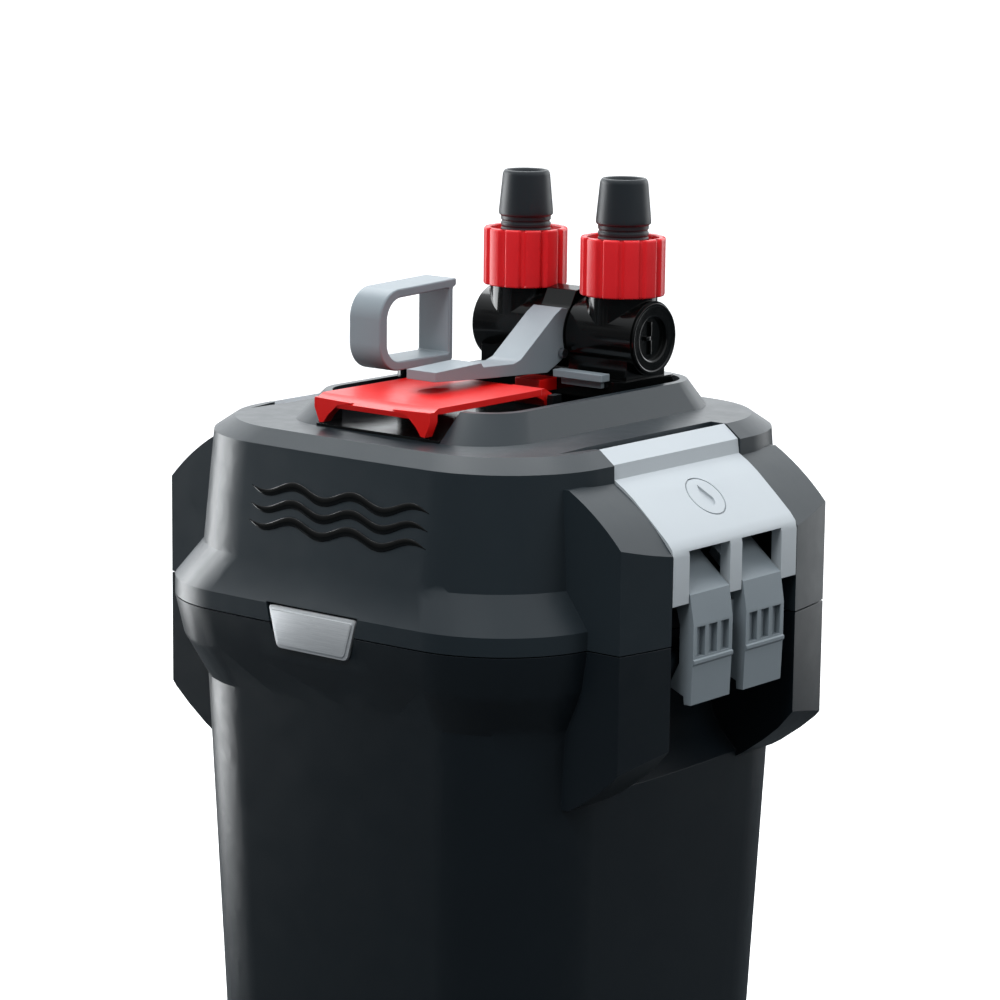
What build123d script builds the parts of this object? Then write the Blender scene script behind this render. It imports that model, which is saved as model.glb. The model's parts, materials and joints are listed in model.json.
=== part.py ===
from build123d import *
import math
import os

# Canister filter for an aquarium. Millimetres, +Z up, front face towards -Y.
# Heights in this file are measured from the parting plane between head and canister.
# save() moves every node up by PARTING, so the written parts stand on Z = 0.

PARTING = 292.0            # height of the parting plane above the floor
GAP = 0.4                  # visible joint gap between head and canister
BOW = 2.4                  # outward bow of the long sides of every cross-section

# Cross-sections as (height, half width, half depth, corner radius)
TUB_OUTSIDE = [(-289, 60.3, 61.8, 30), (-285, 63.6, 65.1, 32), (-26, 74, 75.6, 36),
               (-12, 78, 83.6, 38), (0, 79.5, 86, 38)]
TUB_INSIDE = [(-285.5, 59.6, 61.1, 28), (-26, 71, 72.6, 33), (1, 71, 72.6, 33)]
HEAD_OUTSIDE = [(GAP, 79.5, 86, 38), (6, 79.5, 86, 38), (17, 72.6, 80, 38),
                (51.5, 72, 75.2, 37), (55.7, 66.5, 70, 34)]
HEAD_INSIDE = [(0, 76.5, 83, 35), (5, 76.5, 83, 35), (15.5, 69.6, 77, 35),
               (49.5, 69, 72.2, 34), (52.7, 64.8, 68, 31)]
HEAD_TOP = 55.7

# Raised collar on top of the head
COLLAR_BASE = (44.3, -57.0, 66.0, 20.0)     # half width, front, back, corner radius
COLLAR_TOP = (38.5, -47.0, 60.0, 16.0)
COLLAR_WELL = (36.0, -44.5, 57.5, 13.5)
COLLAR_HEIGHT = 64.1
NOTCH_HALF = 24.6          # front notch of the collar, under the release flap
TRAY_TOP = 56.6

# Clamp housings on both sides
CHEEK_OUT = 52.5           # outer side plane of the cheeks
CHEEK_IN = 32.0            # inner side plane of the cheeks
CHEEK_FACE = 90.0          # face at the outer side plane
CHEEK_CROWN = 95.7         # where the same arc would be on the centre line
SIDE_GAP = 0.3
CLAMP_PIN = (67.0, 47.5)   # X and height of the clamp hinge
CLAMP_PIN_R = 1.5
LATCH_PIN = (91.5, 14.7)
LATCH_PIN_R = 1.0
RUN = 0.05                 # radial running clearance
CATCH_TIP = 89.0
HOOK_SLOPE = 64.0          # degrees from level, lets the hook leave the catch freely

# Shut-off valve
PORT_X = 19.7
PORT_Y = 39.0
BARREL_Z = 78.1
BARREL_R = 11.9
BARREL_END = 31.9
ROTOR_R = 9.5
PORT_BORE = 6.0
DUCT_BORE = 9.3
NUT_R = 13.5
NUT_LOW, NUT_HIGH = 91.0, 109.5
FLUTES = 12
LEVER_HALF = 5.8

# Release flap and primer
FLAP_HALF = 23.0
FLAP_PIN = (-1.5, 62.4)    # Y and height
PRIMER = (-30.5, -5.0)
PRIMER_BORE = 8.0

# Pump
PUMP = (20.0, -12.0)
WELL_R = 13.2
SHAFT_R = 1.5

# Filter media
FLOOR = -282.0             # the racks stand this high inside the tub
RACK = (46.0, 19.0, 53.0)              # half width, front, back
BASKET = (52.0, -50.0, 15.5)
BASKET_HEIGHT = 96.0
BASKET_WALL = 2.0
FIT = 0.05                 # gap round a pressed-in piece


def section(height, half_x, half_y, radius, bow=BOW):
    """Rounded rectangle with slightly bowed sides, centred on the vertical axis."""
    x, y = half_x - bow, half_y - bow
    sides = [ThreePointArc((-x, -y), (0, -half_y), (x, -y)),
             ThreePointArc((x, -y), (half_x, 0), (x, y)),
             ThreePointArc((x, y), (0, half_y), (-x, y)),
             ThreePointArc((-x, y), (-half_x, 0), (-x, -y))]
    outline = make_face(Curve() + sides)
    return Plane.XY.offset(height) * fillet(outline.vertices(), radius)


def stack(levels):
    """Solid that runs straight from one cross-section to the next."""
    return loft([section(*level) for level in levels], ruled=True)


def tray_section(height, half_x, front, back, radius):
    """Rounded rectangle between a front and a back Y."""
    outline = RectangleRounded(2 * half_x, back - front, radius)
    return Pos(0, (front + back) / 2, height) * outline


def block(x0, x1, y0, y1, z0, z1):
    """Box between two corners."""
    return Pos((x0 + x1) / 2, (y0 + y1) / 2, (z0 + z1) / 2) * Box(x1 - x0, y1 - y0, z1 - z0)


def rounded_block(x0, x1, y0, y1, z0, z1, radius):
    """Box with rounded vertical edges."""
    outline = Pos((x0 + x1) / 2, (y0 + y1) / 2, z0) * RectangleRounded(x1 - x0, y1 - y0, radius)
    return extrude(outline, z1 - z0)


def rod(x, y, radius, z0, z1):
    """Upright cylinder."""
    return Pos(x, y, (z0 + z1) / 2) * Cylinder(radius, z1 - z0)


def rod_x(y, z, radius, x0, x1):
    """Cylinder along X."""
    return Pos((x0 + x1) / 2, y, z) * Rot(0, 90, 0) * Cylinder(radius, x1 - x0)


def rod_y(x, z, radius, y0, y1):
    """Cylinder along Y."""
    return Pos(x, (y0 + y1) / 2, z) * Rot(90, 0, 0) * Cylinder(radius, y1 - y0)


def prism_xz(points, y0, y1):
    """Outline in the XZ plane, drawn out along Y."""
    face = make_face(Polyline([(x, y0, z) for x, z in points], close=True))
    return extrude(face, y1 - y0, dir=(0, 1, 0))


def prism_yz(points, x0, x1):
    """Outline in the YZ plane, drawn out along X."""
    face = make_face(Polyline([(x0, y, z) for y, z in points], close=True))
    return extrude(face, x1 - x0, dir=(1, 0, 0))


def prism_xy(points, z0, z1):
    """Outline in plan, drawn out upwards."""
    face = make_face(Polyline([(x, y, z0) for x, y in points], close=True))
    return extrude(face, z1 - z0, dir=(0, 0, 1))


def both_sides(shape):
    """The shape and its mirror image on the other side."""
    return shape + mirror(shape, Plane.YZ)


def left_of(shape):
    """Mirror image for the left side."""
    return mirror(shape, Plane.YZ)


def save(name, shape):
    """Write one node, lifted so that the filter stands on the floor."""
    placed = Pos(0, 0, PARTING) * shape
    solids = placed.solids()
    whole = solids[0] if len(solids) == 1 else Compound(children=list(solids))
    whole.label = name
    export_step(whole, os.path.join("parts", name + ".step"))


# ---------------------------------------------------------------- canister

def wing_plan():
    """Plan outline of a clamp housing, whose outer face bulges a little."""
    face = ThreePointArc((CHEEK_FACE, -CHEEK_OUT), (CHEEK_CROWN, 0), (CHEEK_FACE, CHEEK_OUT))
    back = Polyline([(CHEEK_FACE, CHEEK_OUT), (60, CHEEK_OUT), (60, -CHEEK_OUT),
                     (CHEEK_FACE, -CHEEK_OUT)])
    return extrude(Pos(0, 0, -70) * make_face(Curve() + [face, back]), 140)


def canister_shell():
    """Tub with its band, clamp cheeks, finger pockets and catch bars."""
    cheek_profile = [(60, 0), (100, 0), (100, -24), (93.6, -31.4), (88.5, -37.3), (83, -42),
                     (75.7, -47.3), (72.2, -49.4), (60, -49.4)]
    cheeks = prism_xz(cheek_profile, -CHEEK_OUT, CHEEK_OUT) & wing_plan()
    hollow = block(77, 89, 35, 49.5, -30, 1)
    cheeks = cheeks - block(60, 100, -CHEEK_IN, CHEEK_IN, -60, 1)
    cheeks = cheeks - hollow - mirror(hollow, Plane.XZ)
    scoop = prism_xz([(100, -75), (75.6, -50), (73.5, -48), (66.4, -40.9), (63.4, -36), (62.8, -33),
                      (62.8, -14), (100, -14)], -CHEEK_IN, CHEEK_IN)
    liner = block(59.8, 90, -35, 35, -56, -11)
    drop = 6.0
    run_in = drop / math.tan(math.radians(HOOK_SLOPE))
    catch = prism_xz([(76, -2.5), (CATCH_TIP - 1.5, -4), (CATCH_TIP, -5.5), (CATCH_TIP, -8),
                      (CATCH_TIP - run_in, -8 - drop), (76, -8 - drop)], -CHEEK_IN, CHEEK_IN)
    shell = stack(TUB_OUTSIDE) + both_sides(cheeks)
    shell = shell - both_sides(scoop)
    shell = shell - (stack(TUB_INSIDE) - both_sides(liner))
    shell = shell + both_sides(catch)
    shell = shell - badge_notch()
    return shell - foot_positions(8.05, -289.5, -287.5)


def foot_positions(radius, z0, z1):
    """One disc at each corner of the base."""
    feet = [rod(x, y, radius, z0, z1) for x in (-38, 38) for y in (-39, 39)]
    return Part() + feet


def badge_outline(margin):
    """Trapezoid of the front badge, grown by a margin."""
    return [(-17.5 - margin, 5.6 + margin), (17.5 + margin, 5.6 + margin),
            (14 + margin, -7.2 - margin), (-14 - margin, -7.2 - margin)]


def badge_notch():
    """Shallow seat for the badge in the front of the band."""
    return prism_xz(badge_outline(0.8), -90, -84.4)


# ---------------------------------------------------------------- head

def clamp_pocket():
    """Space in the head that the clamp arm closes over."""
    return prism_xz([(60.2, 60), (60.2, 52.8), (57.5, 50.5), (57.5, 42), (100, 42), (100, 60)],
                    -CHEEK_IN, CHEEK_IN)


def head_shell():
    """Upper housing with the clamp cheeks and the raised collar."""
    top = ThreePointArc((70.6, 46.9), (82.2, 38.9), (92.4, 28.6))
    rest = Polyline([(92.4, 28.6), (100, 20), (100, GAP), (60, GAP), (60, 46.9), (70.6, 46.9)])
    profile = Plane.XZ.offset(CHEEK_OUT) * make_face(Curve() + [top, rest])
    cheeks = extrude(profile, -2 * CHEEK_OUT) & wing_plan()
    cheeks = cheeks - block(60, 100, -CHEEK_IN, CHEEK_IN, -1, 60)
    hollow = prism_xz([(76, 0), (89, 0), (89, 28), (80, 36), (76, 36)], 35, 49.5)
    cheeks = cheeks - hollow - mirror(hollow, Plane.XZ)
    collar = loft([tray_section(HEAD_TOP - 0.5, *COLLAR_BASE),
                   tray_section(COLLAR_HEIGHT, *COLLAR_TOP)])
    liner = block(54.7, 90, -35, 35, 39.2, 60)
    slot_tip = prism_xy([(60.2, -31), (64.4, -31), (61.6, -46)], HEAD_TOP - 2.2, 60)
    blind_pin = rod_y(*CLAMP_PIN, CLAMP_PIN_R + 0.02, -34.8, 34.8)
    shell = stack(HEAD_OUTSIDE) + both_sides(cheeks) + collar
    shell = shell - (stack(HEAD_INSIDE) - both_sides(liner))
    shell = shell - both_sides(clamp_pocket() + slot_tip + blind_pin)
    well = extrude(tray_section(50, *COLLAR_WELL), 20)
    notch = block(-NOTCH_HALF, NOTCH_HALF, -70, -40, HEAD_TOP, 70)
    gland_hole = rod_y(20, 24, 6.05, 70, 90)
    return shell - well - notch - badge_notch() - gland_hole


def valve_tray():
    """Dark floor of the collar, with the seats of valve, flap and primer."""
    half, front, back, radius = COLLAR_WELL
    plate = extrude(tray_section(53.2, half - 0.05, front + 0.05, back - 0.05, radius),
                    TRAY_TOP - 53.2)
    tongue = block(-NOTCH_HALF + 0.2, NOTCH_HALF - 0.2, -56.5, front + 4, HEAD_TOP, TRAY_TOP)
    lug = prism_yz([(FLAP_PIN[0] - 3, TRAY_TOP - 1), (FLAP_PIN[0] + 3, TRAY_TOP - 1),
                    (FLAP_PIN[0] + 2, 64.2), (FLAP_PIN[0] - 2, 64.2)], FLAP_HALF + 0.6, 25.9)
    spigot_holes = both_sides(rod(PORT_X, PORT_Y, DUCT_BORE, 50, 60))
    pin_holes = both_sides(rod_x(*FLAP_PIN, 1.02, 20, 25.7))
    rod_hole = rod(*PRIMER, 2.7, 50, 60)
    return plate + tongue + both_sides(lug) - spigot_holes - pin_holes - rod_hole


def head_base():
    """Sealed plate that plugs the mouth of the canister."""
    flange = stack([(GAP, 75.9, 82.4, 34), (4, 75.9, 82.4, 34)])
    plug = stack([(-10, 70.3, 71.9, 32), (1, 70.3, 71.9, 32)])
    groove = (stack([(-8, 72, 74, 33), (-4, 72, 74, 33)])
              - stack([(-8, 67.8, 69.4, 30), (-4, 67.8, 69.4, 30)]))
    holes = (rod(*PUMP, WELL_R + 0.1, -20, 10) + rod(PORT_X, PORT_Y, 7, -20, 10)
             + rod(-PORT_X, PORT_Y, 11.55, -20, 10) + rod(*PRIMER, 3, -20, 10))
    screws = Part() + [rod(x, y, 1.52, -12, -1.5) for x, y in SCREWS]
    return flange + plug - groove - holes - screws


SCREWS = [(-2, -36), (42, -36), (-2, 20), (42, 46)]


def pump_parts():
    """Motor, rotor well, volute and impeller."""
    x, y = PUMP
    nodes = {}
    nodes["motor_pot"] = (rounded_block(-10, 50, -42, 24, 4, 46, 5)
                          - rounded_block(-7.5, 47.5, -39.5, 21.5, 3, 43.5, 3))
    tube = rod(x, y, WELL_R, -10, 38) + rod(x, y, 16.5, 4, 5.5)
    nodes["rotor_well"] = tube - rod(x, y, 11.6, -11, 36)
    core = block(-6, 46, -34, 16, 14, 32) - rod(x, y, 13.6, 0, 40) - block(4, 36, 2, 8, 0, 40)
    nodes["stator_core"] = core
    nodes["stator_coil"] = (rounded_block(6, 34, 3, 20.5, 9.5, 36.5, 3)
                            - block(0, 40, 8, 16, 14, 32))
    plate = rounded_block(-6, 48, -41, 51, -12, -10.1, 6)
    volute = rod(x, y, 24, -28, -10.1)
    channel = block(12, 27.4, y, 47, -27.5, -10.1)
    chamber = rod(x, y, 21.5, -25.5, -9) + block(13.8, 25.6, y, 45.2, -25.7, -9)
    eye = rod(x, y, 8.5, -30, -20)
    spokes = Part() + [Pos(x, y, -26.7) * Rot(0, 0, a) * Box(18, 2, 2.4) for a in (0, 60, 120)]
    boss = rod(x, y, 4.6, -28, -23.5)
    cover = plate + volute + channel - chamber - eye
    cover = cover + spokes + boss - rod(x, y, 3.5, -26.5, -20)
    nodes["impeller_cover"] = cover - (Part() + [rod(a, b, 1.6, -13, -9) for a, b in SCREWS])
    nodes["cover_screws"] = Part() + [rod(a, b, 1.5, -12, -2) + rod(a, b, 3, -14, -12)
                                      for a, b in SCREWS]
    bushes = [rod(x, y, 3.45, -26.4, -23.6), rod(x, y, 4, 32.4, 35.9)]
    nodes["shaft_bushes"] = (Part() + bushes) - rod(x, y, SHAFT_R, -30, 40)
    nodes["ceramic_shaft"] = rod(x, y, SHAFT_R - 0.01, -26.2, 35.7)
    blade = Pos(x + 10.6, y, -17.5) * Box(15.4, 1.4, 9)
    blades = [blade.rotate(Axis((x, y, 0), (0, 0, 1)), a) for a in range(0, 360, 60)]
    wheel = rod(x, y, 4, -22.8, 31) + rod(x, y, 19, -13.2, -11.6) + blades
    nodes["impeller_wheel"] = wheel - rod(x, y, SHAFT_R + RUN, -30, 40)
    nodes["impeller_magnet"] = rod(x, y, 10, 0, 30) - rod(x, y, 4, -1, 31)
    return nodes


def seal_ring():
    """Rubber gasket in the groove of the base plate."""
    return (stack([(-7.8, 70.6, 72.2, 32.2), (-4.2, 70.6, 72.2, 32.2)])
            - stack([(-9, 67.9, 69.5, 30), (-3, 67.9, 69.5, 30)]))


# ---------------------------------------------------------------- clamps

def clamp_arm():
    """Silver panel of the right clamp, with its knuckles and prongs."""
    half = CHEEK_IN - SIDE_GAP
    outline = [(65.5, HEAD_TOP), (70.8, 51.6), (71.4, 47.2), (74.9, 45.1), (78.4, 42.5),
               (85.5, 36.3), (91, 31.3), (93, 28.9), (93.6, 26.4), (93.6, 12), (89.9, 12),
               (89.9, 26), (88.4, 29), (83.8, 33.6), (76.6, 40), (73, 42.6), (69, 45),
               (67.6, 51), (64.2, 53.6)]
    panel = prism_xz(outline, -half, half)
    knuckle = prism_xz([(66, 44.6), (71, 46), (70.6, 50.8), (66, 50.8)], -30, 30)
    knuckle = (knuckle + rod_y(*CLAMP_PIN, 3.6, -30, 30)) - block(60, 72, -20, -6, 40, 51.2)
    knuckle = knuckle - block(60, 72, 6, 20, 40, 51.2)
    window = block(84, 100, 3, 23.7, 5, 27.7)
    arm = panel + knuckle - window - mirror(window, Plane.XZ)
    arm = arm - rod_y(*CLAMP_PIN, CLAMP_PIN_R + RUN, -40, 40)
    arm = arm - rod_y(*LATCH_PIN, LATCH_PIN_R + 0.02, -31, 31)
    slope = Plane(origin=(81.9, 0, 39.45), x_dir=(0, 1, 0), z_dir=(0.66, 0, 0.752))
    ring = Circle(7.4) - Circle(6.9)
    drop = make_face(Curve() + [ThreePointArc((-2.6, -1.2), (0, -3.8), (2.6, -1.2)),
                                Line((2.6, -1.2), (0, 4.6)), Line((0, 4.6), (-2.6, -1.2))])
    mark = extrude(slope * (Sketch() + ring + drop), amount=2, both=True)
    keep = prism_xz([(76, 44.2 - 0.55), (88, 33.7 - 0.55), (88, 20), (70, 20)], -12, 12)
    return arm - (mark - keep)


def latch_lever():
    """Finger lever of the right clamp: two fingers on one cross-bar, with the hook."""
    slope = math.radians(HOOK_SLOPE)
    hook_root = (90.2, -6.6)
    reach = 2.9
    hook_tip = (hook_root[0] - reach, hook_root[1] - reach * math.tan(slope))
    outline = [(82.2, 24), (88.7, 18.6), (93.8, 14.4), (95.3, 5.4), (95.3, -5), (95.8, -5.3),
               (95.8, -6.3), (95.2, -7), (94.7, -19), (92.2, -19), (92, -16.5),
               (hook_tip[0], hook_tip[1] - 2), hook_tip, hook_root, (90.2, 5), (88.9, 9.5),
               (88.6, 14.6), (81, 21.4)]
    finger = prism_xz(outline, 3.5, 23.3)
    slots = Part() + [block(93.4, 100, y, y + 4.1, -4.4, 4.6) for y in (5.3, 11.35, 17.4)]
    bar = block(86.6, 90.6, -5, 5, 1, 8.5)
    lever = finger - slots + mirror(finger - slots, Plane.XZ) + bar
    return lever - rod_y(*LATCH_PIN, LATCH_PIN_R + RUN, -30, 30)


# ---------------------------------------------------------------- valve

def valve_body():
    """Twin barrels with their ports, on one base with two spigots."""
    barrel = rod_x(PORT_Y, BARREL_Z, BARREL_R, 6.4, BARREL_END)
    collar = rod(PORT_X, PORT_Y, 11.2, BARREL_Z, NUT_LOW - 0.2)
    neck = rod(PORT_X, PORT_Y, 9.3, NUT_LOW - 1, 104)
    spigot = rod(PORT_X, PORT_Y, 9, 44, 62)
    groove = rod(PORT_X, PORT_Y, 12, 50.8, 53.2) - rod(PORT_X, PORT_Y, 7.4, 50, 54)
    pedestal = block(6.4, 29.5, 29, 49, 64, 72)
    half = barrel + collar + neck + spigot - groove + pedestal
    base = rounded_block(-30.5, 30.5, 25, 55, 59.5, 65.2, 4)
    body = both_sides(half) + base
    bores = rod_x(PORT_Y, BARREL_Z, ROTOR_R + RUN, -29.4, 29.4)
    sight = rod(PORT_X, PORT_Y, PORT_BORE, 40, 110)
    return body - bores - both_sides(sight) - both_sides(rod_x(PORT_Y, BARREL_Z, 8, 28, 40))


def end_cap():
    """Right end cap of the barrel, a ring round a slotted disc."""
    plug = rod_x(PORT_Y, BARREL_Z, 8, 29.6, BARREL_END)
    rim = rod_x(PORT_Y, BARREL_Z, 11.2, BARREL_END, BARREL_END + 0.9)
    dish = rod_x(PORT_Y, BARREL_Z, 7, BARREL_END - 0.4, BARREL_END + 1)
    slot = block(BARREL_END - 1.4, BARREL_END + 1, PORT_Y - 0.5, PORT_Y + 0.5, 73, 83.2)
    return plug + rim - dish - slot


def valve_rotor():
    """Turning core of the valve with one cross bore for each port."""
    core = rod_x(PORT_Y, BARREL_Z, ROTOR_R, -29.2, 29.2)
    return core - both_sides(rod(PORT_X, PORT_Y, PORT_BORE, 60, 100))


def lever_hub():
    """Dark collar that clasps the rotor between the barrels."""
    half = LEVER_HALF + 0.1
    ring = rod_x(PORT_Y, BARREL_Z, 12.4, -half, half)
    crest = prism_yz([(29.5, 85.5), (33, 91.6), (38.5, 92.4), (43.5, 90.3), (44, 84)], -half, half)
    return ring + crest - rod_x(PORT_Y, BARREL_Z, ROTOR_R, -10, 10)


def valve_lever():
    """Grey lever with a thumb pad."""
    outline = [(-36, 69.8), (-36, 72.8), (-14, 73.4), (-13, 72), (2, 71.4), (5.5, 72.4),
               (22.5, 84.8), (26, 86.7), (28.8, 86.2), (30, 80), (30, 72.4), (26, 69.9),
               (19, 66.7), (-12, 68.3)]
    arm = prism_yz(outline, -LEVER_HALF, LEVER_HALF)
    pin_hole = rod_x(25.9, 72.3, 1.52, -10, 10)
    return arm - rod_x(PORT_Y, BARREL_Z, 12.4, -10, 10) - pin_hole


def lock_nut():
    """Fluted nut of the right port."""
    nut = rod(PORT_X, PORT_Y, NUT_R, NUT_LOW, NUT_HIGH)
    groove = rod(PORT_X + NUT_R + 0.35, PORT_Y, 1.3, NUT_LOW - 1, NUT_HIGH + 1)
    axis = Axis((PORT_X, PORT_Y, 0), (0, 0, 1))
    grooves = Part() + [groove.rotate(axis, (n + 0.35) * 360 / FLUTES) for n in range(FLUTES)]
    bore = rod(PORT_X, PORT_Y, 9.4, NUT_LOW - 1, 106.8) + rod(PORT_X, PORT_Y, 8.2, 100, 110)
    return nut - grooves - bore - rod(PORT_X, PORT_Y, 11.3, 108, 110)


def hose_connector():
    """Tapered rubber connector of the right port."""
    profile = [(5.6, 104.05), (9.2, 104.05), (9.2, 106.4), (8.05, 106.4), (8.05, 110.6),
               (7.6, 110.9), (7.6, 111.5), (8.05, 111.8), (8.05, 113.2), (8.75, 113.7),
               (8.75, 114.9), (7.6, 126.9), (7.0, 127.9), (5.6, 127.9)]
    face = make_face(Polyline([(r, 0, z) for r, z in profile], close=True))
    return Pos(PORT_X, PORT_Y, 0) * revolve(face, Axis.Z)


def o_rings():
    """Sealing rings of the two spigots."""
    ring = Pos(PORT_X, PORT_Y, 52) * Torus(8.3, 0.9)
    return both_sides(ring)


def release_flap():
    """Red flap with a thumb dish, two claws and rear knuckles."""
    half = FLAP_HALF
    plate = rounded_block(-half, half, -55, -4.5, 64.1, 66, 1.5)
    lip = prism_yz([(-50, 64.3), (-55, 64.3), (-58.5, 62.4), (-58.9, 64), (-55, 66), (-50, 66)],
                   -half, half)
    claw = prism_xz([(8, 64.6), (14, 63.2), (17.6, 60), (19.4, 57.6), (21, 57.4), (half, 62),
                     (half, 65)], -58.9, -55.4)
    knuckle = rod_x(*FLAP_PIN, 2.2, 10, half - 0.4)
    arm = prism_yz([(-8, 64.1), (-8, 66), (-3.4, 66), (FLAP_PIN[0] + 1, 64.4), (FLAP_PIN[0], 61.2),
                    (-3.6, 62.2)], 10, half - 0.4)
    dish = Pos(0, -30, 66 + 17.2) * scale(Sphere(18.4), by=(0.62, 1, 1))
    flap = plate + lip + both_sides(claw + knuckle + arm)
    return flap - dish - rod_x(*FLAP_PIN, 1.0 + RUN, -30, 30)


def primer_handle():
    """Grey pull loop, open along X."""
    half = 6.5
    outer = make_face(Curve() + [
        Line((9.6, 95.1), (9.6, 92.8)), Line((9.6, 92.8), (8, 92.2)), Line((8, 92.2), (8, 69.6)),
        Line((8, 69.6), (7, 68.3)), Line((7, 68.3), (-18.5, 68.3)),
        ThreePointArc((-18.5, 68.3), (-24.8, 71.0), (-27.4, 77.2)), Line((-27.4, 77.2), (-27.4, 85)),
        ThreePointArc((-27.4, 85), (-24.4, 91.6), (-17.5, 94.2)), Line((-17.5, 94.2), (9.6, 95.1))])
    inner = make_face(Curve() + [
        Line((6, 92.1), (6, 71.3)), Line((6, 71.3), (-18, 71.3)),
        ThreePointArc((-18, 71.3), (-22.1, 73.1), (-23.8, 77.4)), Line((-23.8, 77.4), (-23.8, 85)),
        ThreePointArc((-23.8, 85), (-21.7, 89.4), (-16.8, 91.3)), Line((-16.8, 91.3), (6, 92.1))])
    loop = Plane.YZ.offset(PRIMER[0] - half) * (outer - inner)
    return extrude(loop, 2 * half)


# ---------------------------------------------------------------- media

def slotted_floor(half, front, back, z, thickness, pitch=10.0, width=4.0):
    """Row of slots through a floor or cover plate."""
    count = int((2 * half - 8) // pitch)
    first = -(count - 1) / 2 * pitch
    slots = [block(first + n * pitch - width / 2, first + n * pitch + width / 2,
                   front + 6, back - 6, z - 1, z + thickness + 1) for n in range(count)]
    return Part() + slots


def basket(z):
    """Wall of a media basket, open above and below."""
    half, front, back = BASKET
    outside = rounded_block(-half, half, front, back, z, z + BASKET_HEIGHT, 6)
    return outside - rounded_block(-half + BASKET_WALL, half - BASKET_WALL, front + BASKET_WALL,
                                   back - BASKET_WALL, z - 1, z + BASKET_HEIGHT + 1, 4)


def basket_grid(z):
    """Slotted floor that is pressed into a basket."""
    half, front, back = BASKET
    inset = BASKET_WALL + FIT
    plate = rounded_block(-half + inset, half - inset, front + inset, back - inset, z, z + 2, 4 - FIT)
    return plate - slotted_floor(half, front, back, z, 2)


def media_parts():
    """Baskets with their media, and the foam rack."""
    half, front, back = BASKET
    low, high = FLOOR, FLOOR + BASKET_HEIGHT + 0.5
    lid = high + BASKET_HEIGHT
    middle = (front + back) / 2
    nodes = {"lower_basket": basket(low), "lower_basket_grid": basket_grid(low),
             "upper_basket": basket(high), "upper_basket_grid": basket_grid(high)}
    cover = rounded_block(-half, half, front, back, lid, lid + 3, 6)
    nodes["basket_cover"] = cover - slotted_floor(half, front, back, lid, 3)
    posts = block(-24, -20, middle - 4, middle + 4, lid + 3, lid + 32)
    nodes["basket_handle"] = both_sides(posts) + block(-24, 24, middle - 5, middle + 5, lid + 28, lid + 34)
    ring = Cylinder(4.4, 12) - Cylinder(2.2, 13)
    spots = [(-44 + 11 * i, front + 9 + 11.8 * j, low + 9 + 14 * k)
             for i in range(9) for j in range(5) for k in range(2)]
    nodes["ceramic_rings"] = Part() + [Pos(*spot) * ring for spot in spots]
    nodes["fine_pad"] = rounded_block(-half + 2.6, half - 2.6, front + 2.6, back - 2.6,
                                      high + 2.4, high + 42, 4)
    wide, near, far = RACK
    top = FLOOR + 214
    frame = block(-wide, wide, near, far, FLOOR, top) - block(-wide + 2, wide - 2, near + 2, far - 2,
                                                              FLOOR + 2, top + 1)
    window = block(-wide + 8, wide - 8, near - 1, far + 1, FLOOR + 12, FLOOR + 98)
    frame = frame - window - Pos(0, 0, 100) * window
    stem = block(-3, 3, far - 20, far - 14, FLOOR + 2, top + 16)
    grip = block(-20, 20, far - 21, far - 13, top + 12, top + 19)
    nodes["foam_frame"] = frame + stem + grip
    foam = block(-wide + 2.4, wide - 2.4, near + 2.4, far - 2.4, FLOOR + 2.4, FLOOR + 104)
    shaft_gap = block(-3.4, 3.4, far - 20.4, far - 13.6, FLOOR, top)
    nodes["lower_foam"] = foam - shaft_gap
    nodes["upper_foam"] = Pos(0, 0, 104) * foam - shaft_gap
    return nodes


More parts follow.
